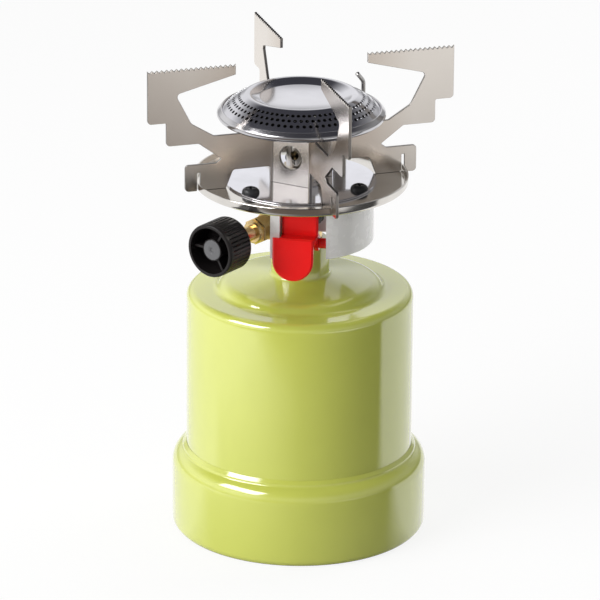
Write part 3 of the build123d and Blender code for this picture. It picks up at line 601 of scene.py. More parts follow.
def housing_shell():
    mesh = bmesh.new()
    neck_start = NECK_RADIUS - SHEET / 2 + NECK_FILLET * (1 - sine(DOME_SLOPE))
    start = (house_high.x - SHEET / 2, house_low.z + SHEET / 2 * SHEET_END)
    path = trace(start, 90, ("z", SHOULDER_Z - SHEET / 2 - SHOULDER_EDGE), (SHOULDER_EDGE, 90),
                 ("r", DOME_RADIUS), (DOME_FOOT_BEND, -DOME_TURN), (DOME_CREST_BEND, DOME_TURN - DOME_SLOPE),
                 ("r", neck_start), (NECK_FILLET, DOME_SLOPE - 90),
                 ("z", house_high.z - SHEET / 2 - NECK_EDGE), (NECK_EDGE, 90), ("r", NECK_HOLE))
    lathe(mesh, sheet_section(path, SHEET))
    piece("housing_shell", mesh, "stove", "lime_enamel", LIME, "cartridge_housing")


# Drip tray, shield and screws

TRAY_SHEET = 0.8
TRAY_BEND = 1.2
TRAY_SEAT = 29.8
TRAY_RIM = 0.25
SHIELD_BORE = 5.0
SCREW_CIRCLE = 27.0
SCREW_HEAD = 3.6
SCREW_STEPS = 36
# The head from its foot over the dome and down into its hollow: share of the head's radius, and height
SCREW_PROFILE = ((0, 0), (1, 0), (1, 0.5), (0.93, 1.2), (0.78, 1.75), (0.62, 2.05), (0.57, 2.112),
                 (0.56, 0.99), (0, 0.99))
# The disc with the cross slot that fills the hollow
CROWN_RADIUS = 0.6 * SCREW_HEAD
CROWN_HEIGHT = 2.134
CROWN_EDGE = 0.1
SLOT_HALF = 0.45
SLOT_REACH = 0.52 * SCREW_HEAD
SLOT_SPIN = 1.7
QUARTER_TURNS = ((1, 0), (0, 1), (-1, 0), (0, -1))
# The shank under the head: radius and height
SHANK = ((0, -4), (1.2, -4), (1.5, -3.5), (1.5, 0), (0, 0))
tray_low, tray_high = node_box("drip_tray")
shield_low, shield_high = node_box("heat_shield")


def tray():
    mesh = bmesh.new()
    wall = tray_high.x - TRAY_SHEET / 2
    path = trace((TRAY_SEAT, tray_low.z + TRAY_SHEET / 2), 0, ("r", wall - TRAY_BEND), (TRAY_BEND, 90),
                 ("z", tray_high.z - TRAY_RIM))
    lathe(mesh, sheet_section(path, TRAY_SHEET))
    piece("tray_dish", mesh, "stove", "nickel_steel", TRAY_STEEL, "drip_tray")


def shield():
    mesh = bmesh.new()
    thick = shield_high.z - shield_low.z
    start = (SHIELD_BORE + EDGE, shield_low.z + thick / 2)
    lathe(mesh, sheet_section(trace(start, 0, ("r", shield_high.x - EDGE)), thick))
    piece("shield_disc", mesh, "stove", "bright_sheet", SHIELD_SHEET, "heat_shield")


def screws():
    mesh = bmesh.new()
    arm = ((SLOT_HALF, SLOT_HALF), (SLOT_HALF, SLOT_REACH), (-SLOT_HALF, SLOT_REACH))
    cross = [Vector((x * c - y * s, x * s + y * c)) for c, s in QUARTER_TURNS for x, y in arm]
    for angle in SCREW_ANGLES:
        spot = Matrix.Translation(along(angle, SCREW_CIRCLE, shield_high.z)) @ spin(angle * SLOT_SPIN)
        plate(mesh, circle(CROWN_RADIUS, SCREW_STEPS), 0, CROWN_HEIGHT, CROWN_EDGE, [cross], spot)
        lathe(mesh, [(SCREW_HEAD * share, height) for share, height in SCREW_PROFILE], SCREW_STEPS, spot)
        lathe(mesh, SHANK, PIN_STEPS, spot)
    piece("shield_screw_heads", mesh, "stove", "black_steel", BLACK_STEEL, "shield_screws")


# Pot supports: one strip each, cut flat and folded

STRIP = 1.2
STRIP_EDGE = 0.14
STRIP_SHARP = 25
FLAT_FACE = 0.95
BOX_HALF = 8.5
FOLD_RADIUS = 1.6
FOLD_CUTS = 8
FACE_HOLE_RADIUS = 5.1
FACE_HOLE_Z = 162.0
TAB_HALF = 7.0
TAB = 1.0
TAB_EDGE = 0.1
TAB_HOLE = 5.0
TAB_TAPER = 1.5
TAB_TAPER_IN = 4.0
TAB_NOSE_BEND = 3.0
ARM_TIP = 28.0
BAR_TIP = 4.3
TEETH = 18
TOOTH = 1.0
TOOTH_FOOT_BEND = 0.25
TOOTH_TIP_BEND = 0.2
SLIT_ROOM = 0.25
SADDLE_Z = 172.4
support_low, support_high = node_box("front_pot_support")
arm_reach = -support_low.x
arm_top_z = support_high.z
bend_out = BOX_HALF * math.sqrt(2)
fold_reach = FOLD_RADIUS * math.tan(math.radians(22.5))
fold_start = BOX_HALF - fold_reach
fold_end = fold_start + FOLD_RADIUS * math.pi / 4
slit_out = tray_high.x + SLIT_ROOM
slit_in = tray_high.x - TRAY_SHEET - SLIT_ROOM
tray_floor_z = tray_low.z + TRAY_SHEET

# Corners of an arm, each with its distance out, height and rounding, from the fold out along the lower edge
# and back along the upper edge
ARM_LOWER = (
    (bend_out + 1.4, 157.2, 0.8), (29.0, 157.2, 1.6), (32.0, tray_floor_z, 0.4), (slit_in, tray_floor_z, 1.2),
    (slit_in, 157.1, 0.24), (slit_out, 157.1, 0.24), (slit_out, 149.4, 0.4), (49.3, 149.4, 1.6),
    (49.3, 160.7, 1.6), (36.3, 160.7, 0.4), (34.0, 162.4, 0.4), (43.6, 169.6, 1.6), (57.2, 169.6, 1.6),
    (57.2, 179.5, 0.8), (arm_reach, 179.5, 1.6), (arm_reach, arm_top_z, 0),
)
ARM_UPPER = (
    (ARM_TIP, arm_top_z, 0), (ARM_TIP, arm_top_z - BAR_TIP, 0.25), (53.2, 191.2, 1.6), (46.6, 178.3, 3.2),
    (37.1, SADDLE_Z, 1.6),
)


def fold(face_angle, run, off, height):
    """Point of the folded strip: a run from the middle of its face, off its middle layer, at a height."""
    side = 1 if run >= 0 else -1
    run = abs(run)
    if run <= fold_start:
        return along(face_angle, BOX_HALF + off, height) + along(face_angle + side * 90, run)
    if run >= fold_end:
        spot = along(face_angle + side * 45, bend_out + fold_reach + run - fold_end, height)
        return spot + along(face_angle - side * 45, off)
    turn = face_angle - side * math.degrees((run - fold_start) / FOLD_RADIUS)
    centre = along(face_angle, BOX_HALF + FOLD_RADIUS, height) + along(face_angle + side * 90, fold_start)
    return centre - along(turn, FOLD_RADIUS - off)


def support(node):
    face_angle = SUPPORT_ANGLES[node]
    foot_z = shield_high.z
    pitch = (arm_reach - ARM_TIP) / TEETH
    teeth = []
    for number in range(TEETH):
        teeth.append((arm_reach - (number + 0.5) * pitch, arm_top_z - TOOTH, TOOTH_FOOT_BEND))
        teeth.append((arm_reach - (number + 1) * pitch, arm_top_z, TOOTH_TIP_BEND))
    start = bend_out + fold_reach
    arm = [(start, foot_z, 0), (bend_out + STRIP, foot_z, 0), *ARM_LOWER, *teeth[:-1], *ARM_UPPER,
           (start, SADDLE_Z, 0)]
    side = [(r - bend_out - fold_reach + fold_end, z, radius) for r, z, radius in arm]
    corners = side + [(-run, z, radius) for run, z, radius in reversed(side)]
    mesh = bmesh.new()
    hole = circle(FACE_HOLE_RADIUS, ROD_STEPS, (0, FACE_HOLE_Z))
    plate(mesh, rounded(corners), -STRIP / 2, STRIP / 2, STRIP_EDGE, [hole])
    mesh.normal_update()
    for face in mesh.faces:
        face.material_index = int(abs(face.normal.z) < FLAT_FACE)
    for step in range(FOLD_CUTS + 1):
        cut = fold_start + (fold_end - fold_start) * step / FOLD_CUTS
        score(mesh, (cut, 0, 0))
        score(mesh, (-cut, 0, 0))
    for vertex in mesh.verts:
        vertex.co = fold(face_angle, vertex.co.x, vertex.co.z, vertex.co.y)
    level = foot_z if node == "front_pot_support" else foot_z + TAB
    taper = TAB_HALF - TAB_TAPER
    tongue = [(BOX_HALF, -TAB_HALF, EDGE), (BOX_HALF, TAB_HALF, EDGE), (0, TAB_HALF, EDGE),
              (-TAB_TAPER_IN, taper, TAB_NOSE_BEND), (-TAB_HALF, 0, TAB_NOSE_BEND),
              (-TAB_TAPER_IN, -taper, TAB_NOSE_BEND), (0, -TAB_HALF, EDGE)]
    plate(mesh, rounded(tongue), level, level + TAB, TAB_EDGE, [circle(TAB_HOLE, ROUND_STEPS)],
          spin(face_angle))
    name = node.replace("_pot_support", "_support_strip")
    made = piece(name, mesh, "stove", "nickel_steel", NICKEL, node, sharp=STRIP_SHARP)
    made.data.materials.append(CUT_EDGE)


# Burner

TUBE_RADIUS = 6.0
TUBE_WALL = 1.0
TUBE_EDGE = 0.06
TUBE_STEPS = 72
TUBE_SUNK = 0.5
COLLAR_FLATS = 14.0
COLLAR_TURN = 15.0
COLLAR_HEIGHT = 4.0
COLLAR_CORNER = 0.4
COLLAR_EDGE = 0.35
AIR_HOLE = 2.0
BURNER_SHEET = 0.8
CAP_FLOOR_Z = 185.0
CAP_SAG = 0.85
CAP_FLOOR_BEND = 172.0
CAP_FLOOR_TURN = 5.5
CAP_DISH_BEND = 3.0
CAP_DISH_SLOPE = 24.0
CAP_CREST = 21.7
CAP_CREST_BEND = 3.0
CAP_SHARP = 40
FLANK_SLOPE = 26.0
FLANK_TURN = 20.0
FLANK_BEND = 32.0
CAP_EDGE = 32.9
FLAME_ROWS = (29.5, 27.4, 25.2)
FLAME_HOLES = 72
FLAME_HOLE = 0.75
HOLE_STEPS = 16
HOLE_THROAT = 0.9
HOLE_THROAT_LAYER = 0.72
CRIMP_REACH = 1.4
CRIMP_ROOM = 0.3
CRIMP_BEND = 1.2
BOWL_SLOPE = 12.0
BOWL_FLAT = 14.0
BOWL_FLAT_BEND = 8.0
BOWL_SLEEVE_BEND = 0.9
SLIP = 0.05
SHADE_TILT = 0.35
FLANK_ALIKE = 0.97
tube_low, tube_high = node_box("mixing_tube")
crest_start = CAP_CREST - CAP_CREST_BEND * sine(CAP_DISH_SLOPE)
cap_start = (0, CAP_FLOOR_Z - CAP_SAG)
cap_moves = ((CAP_FLOOR_BEND, CAP_FLOOR_TURN), (CAP_DISH_BEND, CAP_DISH_SLOPE - CAP_FLOOR_TURN),
             ("r", crest_start), (CAP_CREST_BEND, -CAP_DISH_SLOPE - FLANK_SLOPE))
flank_top = trace(cap_start, 0, *cap_moves)[-1][0]


def flank_slope(radius):
    """Slope of the cap's flank at a radius, in radians."""
    return math.asin(sine(FLANK_SLOPE) + (radius - flank_top.x) / FLANK_BEND)


def flank_spot(radius):
    """Middle of the flank's sheet at a radius, and the way out of it."""
    slope = flank_slope(radius)
    height = flank_top.y - FLANK_BEND * (cosine(FLANK_SLOPE) - math.cos(slope))
    return Vector((radius, height)), Vector((math.sin(slope), math.cos(slope)))


def mixing_tube():
    """Sheet with two air holes rolled into a tube, and the hexagon collar at its foot."""
    mesh = bmesh.new()
    low, high = tube_low.z, tube_high.z
    turn = math.pi * TUBE_RADIUS
    sheet = rounded(oblong(-turn, turn, low + COLLAR_HEIGHT - TUBE_SUNK, high))
    holes = [circle(AIR_HOLE, PIN_STEPS, (run, FACE_HOLE_Z)) for run in (turn / 2, -turn / 2)]
    plate(mesh, sheet, -TUBE_WALL, 0, TUBE_EDGE, holes)
    for step in range(1, TUBE_STEPS):
        score(mesh, (turn * (2 * step / TUBE_STEPS - 1), 0, 0))
    for vertex in mesh.verts:
        heading = SUPPORT_ANGLES["front_pot_support"] - 90 + math.degrees(vertex.co.x / TUBE_RADIUS)
        vertex.co = along(heading, TUBE_RADIUS + vertex.co.z, vertex.co.y)
    bore = circle(TUBE_RADIUS - TUBE_WALL, COLLAR_STEPS)
    collar = hexagon(COLLAR_FLATS, COLLAR_TURN, COLLAR_CORNER)
    plate(mesh, collar, low, low + COLLAR_HEIGHT, COLLAR_EDGE, [bore])
    piece("mixing_tube_body", mesh, "stove", "steel", TRAY_STEEL, "mixing_tube")


def burner_bowl():
    """Lip folded over the cap's edge, sloped wall, flat floor and the sleeve on the tube."""
    mesh = bmesh.new()
    sleeve = TUBE_RADIUS + SLIP + BURNER_SHEET / 2
    slope = FLANK_SLOPE + FLANK_TURN
    way = unit(-slope)
    edge = cap_outer()[-1][0]
    start = edge + Vector((-way.y, way.x)) * (BURNER_SHEET + SLIP) - way * CRIMP_REACH
    crimp = start + way * (CRIMP_REACH + CRIMP_ROOM)
    foot = BOWL_FLAT + BOWL_FLAT_BEND * sine(BOWL_SLOPE)
    path = trace(start, -slope, ("r", crimp.x), (CRIMP_BEND, slope + BOWL_SLOPE - 180), ("r", foot),
                 (BOWL_FLAT_BEND, -BOWL_SLOPE), ("r", sleeve + BOWL_SLEEVE_BEND), (BOWL_SLEEVE_BEND, -90),
                 ("z", tube_high.z))
    lathe(mesh, sheet_section(path, BURNER_SHEET))
    made = piece("burner_bowl_shell", mesh, "stove", "burner_steel", BURNER_STEEL, "burner_bowl")
    # Painted shade: the bowl's floor under the cap is black
    inside = (CAP_EDGE - 2 * CRIMP_REACH) * MM
    blacken(made, lambda face: face.normal.z > 0 and face.center.xy.length < inside)


def row_borders():
    """Radii between the rows of flame holes, from the outermost inwards."""
    middles = [(first + second) / 2 for first, second in zip(FLAME_ROWS, FLAME_ROWS[1:])]
    outer = 2 * FLAME_ROWS[0] - middles[0]
    inner = 2 * FLAME_ROWS[-1] - middles[-1]
    return [outer, *middles, inner]


def cap_outer():
    """Path of the cap's plain edge, from the outermost row of holes."""
    border = row_borders()[0]
    slope = math.degrees(flank_slope(border))
    start, _ = flank_spot(border)
    return trace(start, -slope, (FLANK_BEND, slope - FLANK_SLOPE - FLANK_TURN), ("r", CAP_EDGE))


def burner_cap():
    """Dish, crest and edge by turning, and the perforated flank between them."""
    mesh = bmesh.new()
    half = BURNER_SHEET / 2
    borders = row_borders()
    steps = 2 * FLAME_HOLES
    inner_turn = FLANK_SLOPE - math.degrees(flank_slope(borders[-1]))
    inner = trace(cap_start, 0, *cap_moves, (FLANK_BEND, inner_turn))
    outer = cap_outer()
    for side in (half, -half):
        lathe(mesh, [point + normal * side for point, normal in inner], steps, closed=False)
    edge = [point + normal * half for point, normal in outer]
    edge += [point - normal * half for point, normal in reversed(outer)]
    lathe(mesh, edge, steps, closed=False)
    pitch = 2 * math.pi / FLAME_HOLES
    for row, middle in enumerate(FLAME_ROWS):
        for number in range(FLAME_HOLES):
            centre = (number + row % 2 * 0.5) * pitch
            flame_cell(mesh, centre, pitch, middle, borders[row], borders[row + 1])
    made = piece("burner_cap_sheet", mesh, "stove", "burner_steel", CAP_STEEL, "burner_cap", sharp=CAP_SHARP)
    # Painted shade: the cap's underside and hole walls, inside the burner, are black
    blacken(made, lambda face: face.normal.z < SHADE_TILT)
    smooth_flank(made.data, borders)


def smooth_flank(data, borders):
    """Gives the outside of the flank the normals of its curve, so that the rows of holes leave no bands."""
    normals = []
    for face in data.polygons:
        for index in face.vertices:
            spot = data.vertices[index].co / MM
            radius = spot.xy.length
            normals.append(Vector())
            if borders[-1] - SLIP < radius < borders[0] + SLIP:
                _, level = flank_spot(radius)
                normal = Vector((spot.x / radius * level.x, spot.y / radius * level.x, level.y))
                if normal.dot(face.normal) > FLANK_ALIKE:
                    normals[-1] = normal
    data.normals_split_custom_set(normals)


def flame_cell(mesh, centre, pitch, middle, outer, inner):
    """One flame hole with the patch of sheet round it, on both faces."""
    def spot(turn, radius, layer):
        level, normal = flank_spot(radius)
        level += normal * BURNER_SHEET / 2 * layer
        return mesh.verts.new((level.x * math.cos(turn), level.x * math.sin(turn), level.y))

    half = pitch / 2
    border = ((half, middle), (half, inner), (0, inner), (-half, inner),
              (-half, middle), (-half, outer), (0, outer), (half, outer))
    lean = math.cos(flank_slope(middle))
    rings = []
    for layer in (1, -1):
        patch = [spot(centre + turn, radius, layer) for turn, radius in border]
        hole_rings = []
        for size, depth in ((FLAME_HOLE, layer), (FLAME_HOLE * HOLE_THROAT, layer * HOLE_THROAT_LAYER)):
            hole = circle(size, HOLE_STEPS)
            hole_rings.append([spot(centre + p.x / middle, middle - p.y * lean, depth) for p in hole])
        for index in range(len(patch)):
            first, second, third = (hole_rings[0][(2 * index + step) % HOLE_STEPS] for step in range(3))
            mesh.faces.new((patch[index], patch[(index + 1) % len(patch)], third, second, first))
        rings.extend(hole_rings if layer == 1 else hole_rings[::-1])
    bridge(mesh, rings)


# Spark wire and its sleeve

ELECTRODE_FOOT = 23.3
ELECTRODE_RADIUS = 0.9
ELECTRODE_TIP = 0.7
ELECTRODE_STEP = 8
# Corners of the wire: distance out, height and rounding
WIRE_PATH = ((ELECTRODE_FOOT, 139.4, 0), (ELECTRODE_FOOT, 167.0, 3.0), (37.4, 176.0, 3.0), (37.4, 183.5, 3.0),
             (33.6, 187.6, 0))
# The sleeve's tapered end: share of its radius, and depth under its top
SLEEVE_END = ((1.0, 2.0), (0.75, 0.4), (0.55, 0.0))
insulator_low, insulator_high = node_box("electrode_insulator")


def spark_wire():
    mesh = bmesh.new()
    route = rounded(WIRE_PATH, closed=False, arc_step=ELECTRODE_STEP)
    points = [along(ELECTRODE_ANGLE, *point) for point in route]
    wire(mesh, points, ELECTRODE_RADIUS, ELECTRODE_TIP)
    piece("spark_wire", mesh, "stove", "steel", WIRE_STEEL, "spark_electrode")


def wire_sleeve():
    mesh = bmesh.new()
    low, high = insulator_low.z, insulator_high.z
    radius = (insulator_high.x - insulator_low.x) / 2
    bore = ELECTRODE_RADIUS + SLIP
    outline = [(bore, low), (radius - EDGE, low), (radius, low + EDGE)]
    outline += [(radius * share, high - depth) for share, depth in SLEEVE_END] + [(bore, high)]
    lathe(mesh, outline, ROD_STEPS, Matrix.Translation(along(ELECTRODE_ANGLE, ELECTRODE_FOOT)))
    piece("wire_sleeve", mesh, "stove", "white_ceramic", CERAMIC, "electrode_insulator")


# Igniter housing and lever

IGNITER_RADIUS = 30.0
IGNITER_WALL = 2.0
IGNITER_STEP = 2.5
SKIRT_EDGE = 0.35
DECK_Z = 146.4
DECK_RADIUS = 31.0
DECK_BORE = 6.1
DECK_EDGE = 0.5
DECK_STEPS = 160
PILOT_RADIUS = 29.2
BACK_WALL = 1.2
BACK_EDGE = 0.15
BACK_OUT = 19.05
BACK_LEFT = -2.45
BACK_HEIGHT = 11.0
PLUNGER_HOLE = 2.25
PIEZO_OFFSET = 11.0
PIEZO_Z = 141.4
VALVE_CUT = 6.1
RECESS_LEFT = -3.0
RECESS_RIGHT = 15.4
RECESS_IN = 13.0
CHEEK = 4.0
cover_low, cover_high = node_box("igniter_housing")


def arc_points(radius, start, end):
    """Points on a circle about the axis from one direction to another."""
    count = max(2, round(abs(end - start) / IGNITER_STEP))
    return [along(start + (end - start) * step / count, radius).to_2d() for step in range(count + 1)]


def lever_point(out, across):
    """Point in plan out along the lever's direction and across it."""
    return (along(LEVER_ANGLE, out) + along(LEVER_ANGLE + 90, across)).to_2d()


def lever_side(across, radius):
    """Direction in which a line across the lever's direction by that much meets a circle."""
    return LEVER_ANGLE + math.degrees(math.asin(across / radius))


def igniter_cover():
    """Skirt from the recess round the back, cheek at the recess's left, its back wall, and the deck."""
    mesh = bmesh.new()
    bottom = cover_low.z
    wall_top = DECK_Z + SUNK
    inner = IGNITER_RADIUS - IGNITER_WALL
    wall_right = RECESS_RIGHT + IGNITER_WALL
    side = KNOB_ANGLE + 90
    last = side + math.degrees(math.acos(VALVE_CUT / IGNITER_RADIUS))
    inner_last = side + math.degrees(math.acos(VALVE_CUT / inner))
    skirt = [lever_point(RECESS_IN, RECESS_RIGHT),
             *arc_points(IGNITER_RADIUS, lever_side(RECESS_RIGHT, IGNITER_RADIUS), last),
             *arc_points(inner, inner_last, lever_side(wall_right, inner)),
             lever_point(RECESS_IN, wall_right)]
    plate(mesh, skirt, bottom, wall_top, SKIRT_EDGE)
    slant = math.radians(side - LEVER_ANGLE)
    cheek_left = RECESS_LEFT - CHEEK
    cheek = [lever_point((VALVE_CUT - across * math.sin(slant)) / math.cos(slant), across)
             for across in (RECESS_LEFT, cheek_left)]
    cheek += arc_points(IGNITER_RADIUS, lever_side(cheek_left, IGNITER_RADIUS),
                        lever_side(RECESS_LEFT, IGNITER_RADIUS))
    plate(mesh, cheek, bottom, wall_top, EDGE)
    back_right = RECESS_RIGHT + SUNK
    back_bottom = DECK_Z - BACK_HEIGHT
    back = [(BACK_LEFT, back_bottom, EDGE), (back_right, back_bottom, 0), (back_right, wall_top, 0),
            (BACK_LEFT, wall_top, 0)]
    hole = circle(PLUNGER_HOLE, ROUND_STEPS, (PIEZO_OFFSET, PIEZO_Z))
    plate(mesh, rounded(back), BACK_OUT, BACK_OUT + BACK_WALL, BACK_EDGE, [hole], frame_at(LEVER_ANGLE))
    deck_top = cover_high.z - TRAY_SHEET
    lathe(mesh, [(DECK_BORE, DECK_Z), (DECK_RADIUS - DECK_EDGE, DECK_Z), (DECK_RADIUS, DECK_Z + DECK_EDGE),
                 (DECK_RADIUS, deck_top), (PILOT_RADIUS, deck_top), (PILOT_RADIUS, cover_high.z),
                 (DECK_BORE, cover_high.z)], DECK_STEPS)
    piece("igniter_cover", mesh, "stove", "white_plastic", WHITE, "igniter_housing")


PLATE_INNER = 24.5
PLATE = 2.5
PLATE_FOOT_BEND = 0.6
PLATE_TOP_BEND = 1.2
LEVER_EDGE = 0.7
LEVER_LEFT = -2.6
LEVER_RIGHT = 12.2
LEVER_TOP_Z = 145.3
PIVOT_OUT = 23.0
PIVOT_Z = 131.5
PEG_RADIUS = 2.1
PEG_LEFT = -4.0
PEG_BOSS = 1.2
EAR = 2.0
EAR_EDGE = 0.2
WEB_HEIGHT = 2.4
WEB_BEND = 0.5
WEB_EDGE = 0.4
WEB_BACK = 0.5
WEB_FRONT = 1.0
TONGUE_WIDTH = 16.8
TONGUE_CENTRE = 3.0
TONGUE_FRONT = 32.6
TONGUE_PLATE = 2.2
TONGUE_TOP_Z = 135.6
TONGUE_BOTTOM_Z = 117.8
TONGUE_LEAN = 5.0
TONGUE_STEPS = 24
TONGUE_RELIEF = 1.05
RELIEF_FOOT = 0.8
RELIEF_STEP = 0.1
RELIEF_REACH = 0.01


def tongue(mesh, place):
    """Adds the lever's rounded tongue, hollowed at the back of its left side so that it clears the cheek."""
    half = TONGUE_WIDTH / 2
    straight = TONGUE_TOP_Z - TONGUE_BOTTOM_Z - half
    shape = [Vector((TONGUE_CENTRE + half, 0)), Vector((TONGUE_CENTRE - half, 0))]
    foot = Vector((TONGUE_CENTRE, -straight))
    shape += [foot + unit(180 + 180 * step / TONGUE_STEPS) * half for step in range(TONGUE_STEPS + 1)]
    plate(mesh, shape, 0, TONGUE_PLATE, LEVER_EDGE)
    relief_low = PIVOT_Z + RELIEF_FOOT - TONGUE_TOP_Z
    relief_side = LEVER_LEFT - RELIEF_STEP
    score(mesh, (LEVER_LEFT, 0, 0))
    score(mesh, (relief_side, 0, 0))
    score(mesh, (0, relief_low, 0), (0, 1, 0))
    for vertex in mesh.verts:
        if vertex.co.x < relief_side + RELIEF_REACH and vertex.co.y > relief_low:
            share = (vertex.co.y - relief_low) / -relief_low
            vertex.co.z += TONGUE_RELIEF * share * (1 - vertex.co.z / TONGUE_PLATE)
    bmesh.ops.transform(mesh, matrix=place, verts=mesh.verts)


def lever():
    """Tongue, upper plate and the web between them, with ears, bosses and a peg at the pivot."""
    mesh = bmesh.new()
    front = frame_at(LEVER_ANGLE)
    tongue(mesh, front @ Matrix.Translation((0, TONGUE_TOP_Z, TONGUE_FRONT - TONGUE_PLATE))
           @ spin(-TONGUE_LEAN, "X"))
    upper = oblong(LEVER_LEFT, LEVER_RIGHT, PIVOT_Z, LEVER_TOP_Z, PLATE_FOOT_BEND, PLATE_TOP_BEND)
    web = oblong(LEVER_LEFT, LEVER_RIGHT, TONGUE_TOP_Z - WEB_HEIGHT, TONGUE_TOP_Z, WEB_BEND, WEB_BEND)
    plate(mesh, rounded(upper), PLATE_INNER, PLATE_INNER + PLATE, LEVER_EDGE, place=front)
    plate(mesh, rounded(web), PLATE_INNER + WEB_BACK, TONGUE_FRONT - WEB_FRONT, WEB_EDGE, place=front)
    pivot = frame_at(LEVER_ANGLE, along(LEVER_ANGLE, PIVOT_OUT, PIVOT_Z)) @ spin(90, "Y")
    boss = PEG_RADIUS + PEG_BOSS
    ears = ((LEVER_LEFT, LEVER_LEFT + EAR), (LEVER_RIGHT - EAR, LEVER_RIGHT))
    peg = (PEG_RADIUS, PEG_LEFT, RECESS_RIGHT + IGNITER_WALL / 2)
    for radius, start, end in (peg, *((boss, *ear) for ear in ears)):
        lathe(mesh, [(0, start), (radius - EDGE, start), (radius, start + EDGE), (radius, end - EDGE),
                     (radius - EDGE, end), (0, end)], ROUND_STEPS, pivot)
    for start, end in ears:
        ear = oblong(start, end, PIVOT_Z, TONGUE_TOP_Z, EDGE, EDGE)
        plate(mesh, rounded(ear), PIVOT_OUT, PLATE_INNER + PLATE, EAR_EDGE, place=front)
    piece("lever_moulding", mesh, "lever", "red_plastic", RED, "igniter_lever")


# Valve: gland nut, spindle and knob

KNOB_Z = 136.2
KNOB_RADIUS = 11.0
KNOB_DEPTH = 13.75
KNOB_FACE = 61.0
KNOB_WALL = 1.5
KNOB_BACK = 2.2
KNOB_BORE = 2.55
KNOB_EDGE = 0.8
KNOB_EDGE_TURNS = (0.5, 1.0, 1.4)
KNOB_RIM = 0.15
KNOB_HUB = 4.6
KNOB_HUB_EDGE = 0.2
KNOB_HUB_RECESS = 1.6
KNOB_SEAT = 4.25
KNOB_SEAT_DEPTH = 1.0
KNOB_RIB = 1.0
KNOB_RIB_RECESS = 2.6
RIB_ANGLES = (60.0, 180.0, 300.0)
RIB_EDGE = 0.12
RIB_FOOT = 0.2
GRIP_GROOVES = 40
GRIP_STEPS = 8
GRIP_DEPTH = 0.5
GRIP_POWER = 1.5
GRIP_BACK = 0.2
GRIP_FRONT = 1.8
GRIP_END = 0.5
BOSS_REACH = 23.0
GLAND_FLATS = 10.0
GLAND_TURN = 30.0
GLAND_CORNER = 0.25
GLAND_EDGE = 0.45
GLAND_LENGTH = 8.0
GLAND_COLLAR = 4.6
SPINDLE_RADIUS = 3.0
gland_bore = SPINDLE_RADIUS + SLIP
# The gland's collar, sunk in the hexagon: radius, and height over the hexagon
GLAND_PROFILE = ((gland_bore, -SUNK), (GLAND_COLLAR, -SUNK), (GLAND_COLLAR, 1.5), (GLAND_COLLAR - 0.5, 2.0),
                 (gland_bore, 2.0))
SPINDLE_TIP = 5.05
SPINDLE_CONE = 7.4
SPINDLE_NOSE = 2.5
SPINDLE_SHORT = 2.0
# The disc in the knob's hub, with the dimple in its middle: radius, and height from its face
DISC_PROFILE = ((0, -1.0), (4.2, -1.0), (4.2, -0.2), (4.0, 0), (1.6, 0), (1.4, -0.15), (1.0, -0.2),
                (0.85, -0.5), (0, -0.55))
DISC_STEPS = 72
knob_axis = frame_at(KNOB_ANGLE, Vector((0, 0, KNOB_Z)))
knob_back = KNOB_FACE - KNOB_DEPTH
hub_face = KNOB_FACE - KNOB_HUB_RECESS


def gland_nut():
    mesh = bmesh.new()
    end = BOSS_REACH + GLAND_LENGTH
    nut = hexagon(GLAND_FLATS, GLAND_TURN, GLAND_CORNER)
    plate(mesh, nut, BOSS_REACH, end, GLAND_EDGE, [circle(gland_bore, ROD_STEPS)], knob_axis)
    lathe(mesh, [(radius, end + height) for radius, height in GLAND_PROFILE], COLLAR_STEPS, knob_axis)
    piece("gland_nut_hex", mesh, "stove", "brass", BRASS, "gland_nut")


def spindle():
    mesh = bmesh.new()
    end = hub_face - SPINDLE_SHORT
    lathe(mesh, [(0, SPINDLE_TIP), (SPINDLE_RADIUS, SPINDLE_CONE), (SPINDLE_RADIUS, knob_back),
                 (SPINDLE_NOSE, knob_back), (SPINDLE_NOSE, end), (0, end)], ROD_STEPS, knob_axis)
    piece("spindle_rod", mesh, "spindle", "brass", COPPERY, "valve_spindle")


